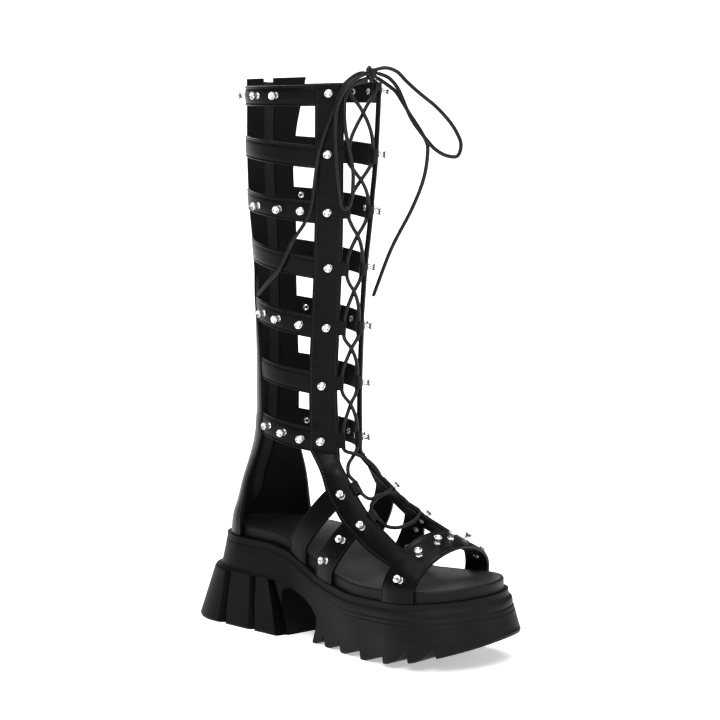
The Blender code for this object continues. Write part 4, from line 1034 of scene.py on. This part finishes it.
# %% Footbed
def make_footbed():
    rounding, shares = 1.5, (0.06, 0.14, 0.25, 0.38, 0.5, 0.62, 0.75, 0.86, 0.94)
    drops = [(rounding * (1 - math.sin(t)), -rounding * (1 - math.cos(t)))
             for t in reversed(spread(0.0, math.pi / 2, 5))]
    drops += [(drop, 0.0) for drop in (4.2, 6.2, RIM_HEIGHT)]
    bm = bmesh.new()
    # The wall, the rim's rounding and its upright side, takes the second finish with its painted shade.
    rows = wall(bm, [Level(1, -drop, 0.0, *[inset] * 5) for drop, inset in drops], 1)
    cap(bm, rows[0], shares, 1.6)
    cap(bm, rows[-1], shares, 0.0)
    bmesh.ops.remove_doubles(bm, verts=bm.verts, dist=SAME_PLACE)
    return piece_from(bm, "footbed", (footbed, shaded_footbed_side))


footbed_piece = make_footbed()
print("footbed:", len(footbed_piece.data.polygons), "faces")

# %% [markdown]
# ## Moulded sole
# The sole is one moulding: a ledge under the footbed, a fine groove, a plain wall with a second
# step, lobes round the heel, an arch and a sawtooth tread. The wall is lofted level by level, the
# openings are cut out of it and every edge the cuts leave is rounded over a little.

# %% Sole
# How much of the wall before and after each level's corner its rounding takes.
ROUNDING = [(0.4, 0.35), (0.35, 0.4), (0.4, 0.3), (0.3, 0.35), (0.35, 0.1), (0.3, 0.3), (0.3, 0.3),
            (0.3, 0.1), (0.3, 0.48), (0.48, 0.05), (0.01, 0.4)]
BEYOND = 90.0  # an x outside the sole on both sides


def rounded_levels(levels):
    """The levels with every corner between them turned into a short curve."""
    made = levels[:1]
    for before, level, after, (taken, given) in zip(levels, levels[1:], levels[2:], ROUNDING):
        start, stop = mixed(before, level, 1 - taken), mixed(level, after, given)
        made += [start, mixed(mixed(start, level, 0.5), mixed(level, stop, 0.5), 0.5), stop]
    return made + levels[-1:]


def round_edges(made, width, segments, above):
    """Rounds the edges of an object that turn by more than an angle in degrees."""
    step = made.modifiers.new("rounded", "BEVEL")
    step.width, step.segments, step.angle_limit = width * MM, segments, math.radians(above)


def make_sole():
    bm = bmesh.new()
    rows = wall(bm, rounded_levels(SOLE_LEVELS))
    for inner, outer in (rows[0], rows[-1]):
        quads(bm, inner, outer)
    bmesh.ops.remove_doubles(bm, verts=bm.verts, dist=SAME_PLACE)
    sole = piece_from(bm, "sole_blank", sharp=None)
    prisms = [[[(x, y, z) for y, z in outline] for x in (-BEYOND, BEYOND)]
              for outline in [ARCH] + tooth_outlines()]
    cutters = []
    for rings in prisms + [groove_wedge(groove) for groove in GROOVES]:
        bm = bmesh.new()
        loft(bm, rings)
        cutters.append(piece_from(bm, "opening", sharp=None))
        step = sole.modifiers.new("cut", "BOOLEAN")
        step.operation, step.object = "DIFFERENCE", cutters[-1]
    round_edges(sole, 0.45, 2, 38)
    sole.modifiers.new("shaded", "WEIGHTED_NORMAL").keep_sharp = True
    sole.data.shade_smooth()
    made = plain_copy(sole, "moulded_outsole", (rubber,))
    for cutter in cutters:
        bpy.data.objects.remove(cutter, do_unlink=True)
    return made


outsole_piece = make_sole()
print("sole:", len(outsole_piece.data.polygons), "faces")

# %% [markdown]
# ## One tree for everything that repeats
# Studs, rivet backs, stitches and zip teeth are all one small piece set down many times. The tree
# below sets a piece on every point of a mesh, turned by two directions stored with the point.

# %% Scatter tree
def scatter_tree():
    tree = bpy.data.node_groups.new("set_on_points", "GeometryNodeTree")
    for name, way, kind in (("Geometry", "INPUT", "Geometry"), ("Piece", "INPUT", "Object"),
                            ("Geometry", "OUTPUT", "Geometry")):
        tree.interface.new_socket(name=name, in_out=way, socket_type="NodeSocket" + kind)
    start, end, info, setter, turn, real = [tree.nodes.new(kind) for kind in (
        "NodeGroupInput", "NodeGroupOutput", "GeometryNodeObjectInfo", "GeometryNodeInstanceOnPoints",
        "FunctionNodeAxesToRotation", "GeometryNodeRealizeInstances")]
    turn.primary_axis, turn.secondary_axis = "Z", "X"
    for name, socket in (("out", "Primary Axis"), ("along", "Secondary Axis")):
        stored = tree.nodes.new("GeometryNodeInputNamedAttribute")
        stored.data_type = "FLOAT_VECTOR"
        stored.inputs["Name"].default_value = name
        tree.links.new(stored.outputs["Attribute"], turn.inputs[socket])
    for a, out, b, into in ((start, "Piece", info, "Object"), (start, "Geometry", setter, "Points"),
                            (info, "Geometry", setter, "Instance"), (turn, "Rotation", setter, "Rotation"),
                            (setter, "Instances", real, "Geometry"), (real, "Geometry", end, "Geometry")):
        tree.links.new(a.outputs[out], b.inputs[into])
    return tree


SCATTER = scatter_tree()


def scatter(name, spots, piece, finish_used):
    """A plain mesh with the piece at every (point, out, along) in millimetres. It uses up the piece."""
    mesh = bpy.data.meshes.new(name + "_points")
    mesh.from_pydata([place(*spot[0]) for spot in spots], [], [])
    for column, stored in ((1, "out"), (2, "along")):
        attribute = mesh.attributes.new(stored, "FLOAT_VECTOR", "POINT")
        for entry, spot in zip(attribute.data, spots):
            entry.vector = spot[column]
    holder = put(name + "_points", mesh)
    step = holder.modifiers.new("set", "NODES")
    step.node_group = SCATTER
    sockets = {item.name: item.identifier for item in SCATTER.interface.items_tree if item.in_out == "INPUT"}
    step[sockets["Piece"]] = piece
    made = plain_copy(holder, name, (finish_used,))
    for stored in ("out", "along"):
        if stored in made.data.attributes:
            made.data.attributes.remove(made.data.attributes[stored])
    bpy.data.objects.remove(piece, do_unlink=True)
    return made


def turned(name, profile, steps):
    """A small turned piece about Z from its half profile (radius, height), top to bottom."""
    bm = bmesh.new()
    turns = spread(0.0, 2 * math.pi, steps)[:-1]
    rings = [[bm.verts.new((radius * MM * math.cos(t), radius * MM * math.sin(t), height * MM))
              for t in (turns if radius else turns[:1])] for radius, height in profile]
    for a, b in zip(rings, rings[1:]):
        for i in range(steps):
            k = (i + 1) % steps
            if len(a) == 1:
                bm.faces.new((a[0], b[i], b[k]))
            elif len(b) == 1:
                bm.faces.new((a[i], b[0], a[k]))
            else:
                bm.faces.new((a[i], b[i], b[k], a[k]))
    return piece_from(bm, name, sharp=38.0)


print("scatter tree:", len(SCATTER.nodes), "nodes")

# %% [markdown]
# ## Studs
# Each stud is a spool: a flange on the leather, a narrow waist that a lace could be hooked on, and
# a round head with a raised lip and a dished middle. Its rivet comes out on the inside of the
# strap as a small ring.

# %% Studs
HEAD = [(0.0, 4.5), (0.6, 4.3), (1.2, 4.25), (1.6, 4.5), (2.0, 5.0), (2.4, 5.3), (2.72, 5.15),
        (2.86, 4.85), (2.8, 4.5), (2.55, 4.1), (2.25, 3.6), (2.02, 3.0), (1.92, 2.3), (1.92, 1.6),
        (2.0, 1.0), (2.15, 0.55), (2.4, 0.25), (2.4, 0.0), (2.3, -0.35), (0.0, -0.35)]
RING = [(0.95, 0.1), (1.05, 0.55), (1.6, 0.75), (2.15, 0.55), (2.35, 0.1), (2.3, -0.4), (0.9, -0.4),
        (0.95, 0.1)]
HOLE = [(0.0, 0.25), (0.9, 0.22), (1.0, -0.2), (0.0, -0.2)]
FOOT_LIFT, RIVET_SINK = 0.7, 0.1  # studs over the foot stand higher; rivets sink into the lining


def outward(above, below, angle):
    """The point between two rows at one angle, and the way out there."""
    left, here, right = [(form_point(above, turn) + form_point(below, turn)) / 2
                         for turn in (angle - 1.0, angle, angle + 1.0)]
    up = form_point(above, angle) - form_point(below, angle)
    return here, (right - left).cross(up).normalized()


def stud_spots():
    """The foot of each stud and the way out there."""
    spots = []

    def add(above, below, angle, thick):
        base, out = outward(above, below, angle)
        spots.append((base, out, thick))

    middles = {band.name: (band.top + band.bottom) / 2 for band in BANDS}
    for name, studs_of_band in BAND_STUDS + REAR_STUDS:
        for angle, lift in studs_of_band:
            above, below = [shaft_row(middles[name] + lift + step) for step in (0.5, -0.5)]
            for side in (-1, 1):
                covered = angle < above.stay or angle > above.panel[side > 0]
                hidden = side < 0 and covered and (name, studs_of_band) in REAR_STUDS
                if not hidden:
                    add(above, below, side * angle, LEATHER + OVERLAY * covered + GAP)
    for name, share, angle in SIDE_STUDS + TOE_STUDS:
        above, below = strap_row(name, share - 0.02), strap_row(name, share + 0.02)
        on_side = name != "toe_strap"
        for side in (-1, 1) if on_side else (1,):
            covered = on_side and angle < below.stay
            add(above, below, side * angle, LEATHER + OVERLAY * covered + FOOT_LIFT)
    return spots


STUD_SPOTS = stud_spots()
studs = scatter("studs", [(p + o * w, o, UP) for p, o, w in STUD_SPOTS], turned("stud", HEAD, 20), chrome)
backs = [(p - o * RIVET_SINK, -o, UP) for p, o, _ in STUD_SPOTS]
rivet_rings = scatter("rivet_rings", backs, turned("ring", RING, 16), chrome)
# The dark discs in the rings' middles are painted shade for the rivets' hollows.
rivet_holes = scatter("rivet_holes", backs, turned("hole", HOLE, 12), rivet_hole_shade)
print("studs:", len(STUD_SPOTS))

# %% [markdown]
# ## Stitches
# The eyestays' and the back panel's folded edges are sewn down with a fine lock stitch just inside
# their beads. A stitch is a small capsule that sinks into the leather at both ends.

# %% Stitches
STITCH, PITCH = 2.1, 2.9


def on_sheet(sheet, u, t, step=0.5):
    """A point of a sheet, the way out there and the way along it."""
    rows = [[sheet(u + a, t + b) for b in (-0.01, 0.0, 0.01)] for a in (-step, 0.0, step)]
    return rows[1][1], ways_out(rows)[1][1], (rows[2][1] - rows[0][1]).normalized()


def stitch_run(sheet, end, inset, top, far=False, start=3.0):
    """Spots for stitches down a sheet, at one distance from its edge."""
    def share_of(u):
        part = inset / lengths([sheet(u, t) for t in spread(0.0, 1.0, 6)])[-1]
        return 1 - part if far else part

    spots, u = [], start
    while u < end:
        here, ahead = sheet(u, share_of(u)), sheet(u + 0.5, share_of(u + 0.5))
        u += PITCH / max((ahead - here).length / 0.5, 0.05)
        if u < end:
            point, out, along = on_sheet(sheet, u, share_of(u))
            spots.append((point + out * top, out, along))
    return spots


def capsule():
    """A stitch along X."""
    half = STITCH / 2
    ends = [(0.0, half), (0.14, half - 0.08), (0.22, half - 0.3)]
    made = turned("stitch", ends + [(radius, -height) for radius, height in reversed(ends)], 6)
    made.data.transform(Matrix.Rotation(math.pi / 2, 4, "Y"))
    return made


STITCH_SINK = 0.14
stitch_spots, on_top = [], LEATHER + OVERLAY - STITCH_SINK
for side in (-1, 1):
    stay, back = stay_sheet(side), back_sheet(side)
    stitch_spots += stitch_run(stay, STAY_END - 6.0, 1.9, on_top)
    stitch_spots += stitch_run(stay, STAY_END - 6.0, 2.1, on_top, far=True)
    stitch_spots += stitch_run(back, PANEL_LENGTH - 3.0, 2.0, on_top)
    stitch_spots += stitch_run(back, PANEL_TOP - ZIP_FOOT, 2.0, on_top + 0.04, far=True)
stitches = scatter("stitches", stitch_spots, capsule(), thread)
print("stitches:", len(stitch_spots))

# %% [markdown]
# ## Lace
# The lace is a round braid. It runs from the knot down through a folded leather loop beside each
# strap, crosses over the throat between them, turns over the instep and comes up again.

# %% Lace crossings
FROM_EDGE, LACE_OUT = 4.2, 1.6  # the lace's middle, in from the stay's edge and out of the form
BOW = LACE / 2 + 0.35  # how far two crossing strands bow away from each other
# Pairs of rows, the upper and the lower end of each leather loop.
LACE_LEVELS = [(shaft_row(band.top + 0.2), shaft_row(band.bottom + (8.3 if band is BANDS[0] else 5.0)))
               for band in BANDS]
LACE_LEVELS += [tuple(strap_row(f"side_strap_{n}", share) for share in (0.5, 1.15)) for n in (1, 2)]
# Where each strand hangs free over the instep, between the two foot straps, and the bar between.
INSTEP = {
    -1: vectors([(12.6, -70.1, 109.6), (1.5, -72.7, 107.4), (-9.9, -77.3, 104.0)]),
    1: vectors([(-8.2, -73.7, 107.0), (0.3, -76.1, 109.4), (11.2, -77.5, 109.6), (18.7, -79.4, 105.2)]),
}
BAR = vectors([(-9.2, -92.0, 90.0), (0.6, -92.8, 87.7), (12.6, -92.4, 89.2)])
# The outer strand's way down to the inner loop at the ankle, and the inner strand's from the knot.
ANKLE = vectors([(-0.8, -46.9, 133.2), (-7.2, -49.4, 128.7), (-10.7, -52.4, 123.3)])
FROM_KNOT = vectors([(4.1, -56.5, 404.9), (-1.5, -56.4, 404.2), (-7.7, -56.5, 403.3)])
# Between two loops: the share of the way across, the share of the way down, and the share of the bow.
LEANING = [(0.3, 0.22, 0.5), (0.57, 0.47, 1.0), (0.86, 0.74, 0.5)]


def lace_strand(first_side):
    """One strand from the collar down to the last loop, starting on one side."""
    points, last = [], len(LACE_LEVELS) - 1
    for level, rows in enumerate(LACE_LEVELS):
        side = first_side * (-1) ** level
        lift = outward(*rows, side * (rows[1].throat - FROM_EDGE))[1] * LACE_OUT
        here = [form_point(row, side * (row.throat - FROM_EDGE)) + lift for row in rows]
        if level == last:
            points += INSTEP[first_side]
        elif level == last - 1 and first_side > 0:
            points += ANKLE
        elif level:
            lift = outward(LACE_LEVELS[level - 1][1], rows[0], 0.0)[1] * (LACE_OUT + BOW * side)
            start, way = points[-1], here[0] - points[-1]
            for across, down, share in LEANING:
                step = Vector((way.x * across, way.y * (across + down) / 2, way.z * down))
                points.append(start + step + lift * share)
        points += here
    return points


def tube(bm, route, reach, hint=None, loop=False):
    """Rings of twelve corners along a route; reach(i, turn) is each corner's distance from it."""
    rings, side, last = [], None, len(route) - 1
    for i, point in enumerate(route):
        ahead, behind = (route[(i + 1) % len(route)], route[i - 1]) if loop else (
            route[min(i + 1, last)], route[max(i - 1, 0)])
        along = (ahead - behind).normalized()
        side = hint or side or along.orthogonal()
        side = (side - along * side.dot(along)).normalized()
        other = along.cross(side)
        rings.append([point + side * (reach(i, t) * math.cos(t)) + other * (reach(i, t) * math.sin(t))
                      for t in TWELVE])
    loft(bm, rings, loop=loop)


TWELVE = spread(0.0, 2 * math.pi, 12)[:-1]
BRAID_RADIUS, BRAID_STEP, BRAID_DEPTH, BRAID_TURN = LACE * 0.55, 0.6, 0.05, 1.6
ROUTE_STEP = 9.0
SEALED = (0.55, 0.86, 1.0)  # how a cord's last rings narrow towards its ends


def braid(name, route):
    """A braided round cord: its surface rises and falls where the two sets of strands cross."""
    fine = smooth_route(smooth_route(route, ROUTE_STEP), BRAID_STEP)

    def reach(i, turn):
        wave = math.cos(3 * turn + i * BRAID_TURN) * math.cos(3 * turn - i * BRAID_TURN)
        return BRAID_RADIUS * (1.0 + BRAID_DEPTH * wave) * SEALED[min(i, len(fine) - 1 - i, 2)]

    bm = bmesh.new()
    tube(bm, fine, reach)
    return piece_from(bm, name, (lace_weave,), sharp=75.0), fine


to_knot = [Vector(KNOT) + Vector((1.6, 6.0, -2.0))]
crossings, fine = braid("lace_over_throat",
                        FROM_KNOT + lace_strand(-1) + BAR + lace_strand(1)[::-1] + to_knot)
print("crossings:", round(lengths(fine)[-1]), "mm")

# %% Free cords
cords = {}
for name, route in LACE_ROUTES.items():
    cords[name] = braid("braided_" + name, route)
    print(name, round(lengths(cords[name][1])[-1]), "mm")

# %% [markdown]
# ## Knot
# The bow's middle: one turn of the lace pulled tight round both strands, with a second turn
# slanting beside it.

# %% Knot
def knot_turn(radii, tilt, shift):
    """A closed oval round the knot's middle, tilted about the foot's long axis."""
    points = [Vector((0.0, radii[0] * math.cos(t), radii[1] * math.sin(t)))
              for t in spread(0.0, 2 * math.pi, 28)[:-1]]
    return [Vector(KNOT) + Matrix.Rotation(-tilt, 3, "Y") @ point + Vector(shift) for point in points]


bm = bmesh.new()
tube(bm, knot_turn((2.5, 4.2), 0.2, (-1.0, 0.0, 0.2)), lambda i, t: 1.2, SIDEWAYS, loop=True)
tube(bm, knot_turn((2.3, 3.4), -0.2, (1.2, 0.0, -0.4)), lambda i, t: 1.2, SIDEWAYS, loop=True)
filling = [(-4.2, 1.4), (-3.0, 2.2), (-1.5, 2.5), (0.0, 2.6), (1.5, 2.5), (3.0, 2.2), (4.2, 1.4)]
loft(bm, [[Vector(KNOT) + Vector((x, 0.4 * math.cos(x) + reach * math.cos(t),
                                  0.5 * math.sin(x * 0.7) + reach * math.sin(t))) for t in TWELVE]
          for x, reach in filling])
front_turn = [(5.6, -57.0, 414.8), (2.9, -58.7, 412.0), (3.1, -59.6, 408.5), (5.5, -59.1, 404.5)]
tube(bm, smooth_route(front_turn, 1.2), lambda i, t: 1.3, UP)
for name, route in LACE_ROUTES.items():
    for end in vectors([route[0], route[-1]] if "loop" in name else [route[0]]):
        start = Vector(KNOT).lerp(end, 0.15)
        middle = start.lerp(end, 0.5) + Vector((0.0, -0.6, 0.3))
        tube(bm, smooth_route([start, middle, end], 1.2), lambda i, t: 1.22, UP)
knot_piece = piece_from(bm, "bow_knot", (lace_weave,), sharp=75.0)
print("knot:", len(knot_piece.data.polygons), "faces")

# %% [markdown]
# ## Lace loops
# A narrow leather strip is folded round the lace beside each strap and caught under the eyestay's
# front edge. Seen from outside each is a small bar with a light fold.

# %% Lace loops
def lace_loops():
    bm = bmesh.new()
    around, thick = 1.62, 0.75
    fold = [(-around * math.sin(t), -around * math.cos(t)) for t in spread(0.0, math.pi, 8)]
    for above, below in LACE_LEVELS:
        for side in (-1, 1):
            rings = []
            for part in spread(0.06, 0.94, 8):
                row = mixed(above, below, part)
                at = side * (row.throat - FROM_EDGE)
                out, centre = outward(above, below, at)[1], form_point(row, at)
                inward = form_point(row, side * row.throat) - centre
                inward -= out * inward.dot(out)
                reach, inward, middle = inward.length, inward.normalized(), centre + out * LACE_OUT
                path = [(reach + 3.0, -1.2), (reach + 0.6, -around), (0.4, -around), *fold, (0.6, around),
                        (reach + 0.4, around + 0.2), (reach + 1.6, around + 0.1), (reach + 3.2, around - 1.0)]
                outer = []
                for (a, b), p, q in zip(path, path[:1] + path, path[1:] + path[-1:]):
                    along = Vector((q[0] - p[0], q[1] - p[1])).normalized() * thick
                    outer.append((a + along.y, b - along.x))
                rings.append([middle + inward * a + out * b for a, b in path + outer[::-1]])
            loft(bm, rings)
    return piece_from(bm, "lace_loops", (leather,), sharp=50.0)


loops = lace_loops()
print("lace loops:", 2 * len(LACE_LEVELS))

# %% [markdown]
# ## Zip
# The zip's woven tape fills the opening behind, its teeth interlock along the middle, and the
# slider rests at the collar with its pull hanging down.

# %% Zip
def back_line(count):
    heights = spread(COLLAR + 2.0, ANKLE_HEIGHT + 2.0, count)
    line = [form_point(shaft_row(height), 180.0) for height in heights]
    return line + [counter_point(height, 0.0) for height in spread(ANKLE_HEIGHT, ZIP_FOOT - 6.0, 16)]


def with_ways_out(line):
    """Each point of a line down the back, with the way out there."""
    made = []
    for point, before, after in zip(line, line[:1] + line, line[1:] + line[-1:]):
        along = (after - before).normalized()
        made.append((point, SIDEWAYS.cross(along).normalized() * (1.0 if along.z < 0 else -1.0)))
    return made


# Half of the tape's section with its chain: x, and the height over the form.
TAPE = [(5.6, 0.5), (5.6, 1.3), (3.2, 1.5), (2.9, 1.95), (2.2, 2.05), (1.8, 1.6)]
section = TAPE + [(-x, off) for x, off in reversed(TAPE)]
bm = bmesh.new()
loft(bm, [[point + SIDEWAYS * x + out * off for x, off in section]
          for point, out in with_ways_out(back_line(90))])
zip_cloth = piece_from(bm, "zip_cloth", (tape,))

# One tooth of the zip in plan. It is drawn 2.4 mm wide and lofted at three widths.
TOOTH = [(-1.9, -0.42), (0.6, -0.42), (1.15, 0.0), (0.6, 0.42), (-1.9, 0.42)]
TOOTH_PITCH, TOOTH_LIFT, TOOTH_SHIFT = 0.95, 2.2, 0.9
bm = bmesh.new()
loft(bm, [[(x / 2.4 * wide - AXIS_X, y - AXIS_Y, z) for x, y in TOOTH]
          for z, wide in ((-0.5, 2.2), (0.5, 2.4), (0.85, 1.9))])
spots = []
for i, (point, out) in enumerate(with_ways_out(smooth_route(back_line(30), TOOTH_PITCH))):
    side = SIDEWAYS if i % 2 else -SIDEWAYS
    spots.append((point + out * TOOTH_LIFT + side * TOOTH_SHIFT, out, -side))
zip_chain = scatter("zip_chain", spots, piece_from(bm, "tooth", sharp=None), teeth)


def softened(node_name, name, width):
    """A copy of a plain solid with its doubles merged and its edges rounded."""
    bm = bmesh.new()
    bm.from_mesh(bpy.data.objects[node_name].data)
    bmesh.ops.remove_doubles(bm, verts=bm.verts, dist=2 * SAME_PLACE)
    bmesh.ops.dissolve_limit(bm, angle_limit=0.02, verts=bm.verts, edges=bm.edges)
    copy = piece_from(bm, name + "_blank", sharp=None)
    round_edges(copy, width, 3, 40)
    return plain_copy(copy, name, (chrome,), sharp=40.0)


slider_piece = softened("zip_slider", "slider", 0.35)
pull_piece = softened("zip_pull", "pull_tab", 0.25)
print("zip:", len(spots), "teeth")

# %% [markdown]
# ## Studio
# A plain white floor and a bright even surround, with a large soft light from the upper left and a
# weaker one from the right, as in a catalogue. Only a soft shadow grounds the sole.

# %% Studio
for name, at, height, size, watts in (("key_softbox", (-1.35, -1.35, 1.5), 0.25, 0.7, 27.0),
                                      ("fill_softbox", (1.3, -1.7, 0.9), 0.2, 0.9, 12.0),
                                      ("back_softbox", (0.7, 1.7, 1.3), 0.25, 0.9, 16.0)):
    lamp = put(name, bpy.data.lights.new(name, "AREA"))
    lamp.data.shape, lamp.data.size, lamp.data.energy = "SQUARE", size, watts
    aim(lamp, at, (0.0, 0.0, height))

sky = put("overhead", bpy.data.lights.new("overhead", "SUN"))
sky.data.energy, sky.data.angle = 3.5, math.radians(80)
sky.rotation_euler = (math.radians(8), math.radians(-8), 0.0)

world = bpy.data.worlds.new("studio")
world.use_nodes = True
tree = world.node_tree
background = tree.nodes["Background"].inputs
background["Color"].default_value = (1.0, 1.0, 1.0, 1.0)
strength = node(tree, "ShaderNodeMapRange", To_Min=0.16, To_Max=1.05)
tree.links.new(tree.nodes.new("ShaderNodeLightPath").outputs["Is Camera Ray"], strength.inputs["Value"])
tree.links.new(strength.outputs["Result"], background["Strength"])
bpy.context.scene.world = world
bpy.context.scene.view_settings.view_transform = "Standard"

floor_paint = finish("white_floor", (0.95, 0.95, 0.95), 0.8, specular=0.1)
surface(floor_paint, "Emission Color").default_value = (1.0, 1.0, 1.0, 1.0)
surface(floor_paint, "Emission Strength").default_value = 0.45
bm = bmesh.new()
bm.faces.new([bm.verts.new((x, y, 0.0)) for x, y in ((-30, -30), (30, -30), (30, 30), (-30, 30))])
floor = piece_from(bm, "floor", (floor_paint,), sharp=None)
print("studio:", len(bpy.data.lights), "lights")

# %% [markdown]
# Each dressed piece rides on a body, and the plain solids that some of them stand for are hidden.

# %% Bodies
def dress(piece, slot, *nodes, body="boot"):
    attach(piece, body)
    if nodes:
        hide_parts(*nodes)


for piece in (bands, eyestays, back_halves, side_straps, toe_strap):
    dress(piece, "leather", "upper")
dress(loops, "leather")
dress(stitches, "leather")
dress(footbed_piece, "leather", "insole")
dress(outsole_piece, "rubber", "outsole")
dress(studs, "chrome", *(name for name in frame["nodes"] if name.startswith("stud_")))
dress(rivet_rings, "chrome")
dress(rivet_holes, "chrome")
dress(crossings, "lace", "lace_crossings")
dress(knot_piece, "lace", "lace_knot")
dress(zip_cloth, "tape", "zip_tape")
dress(zip_chain, "tape")
dress(slider_piece, "chrome", "zip_slider")
dress(pull_piece, "chrome", "zip_pull", body="pull")
for name, (cord, fine) in cords.items():
    dress(cord, "lace", name)
    tuple(place(*fine[0]))
    lengths(fine)[-1] * MM
    [tuple(place(*p)) for p in fine]
print("free cords:", len(cords))
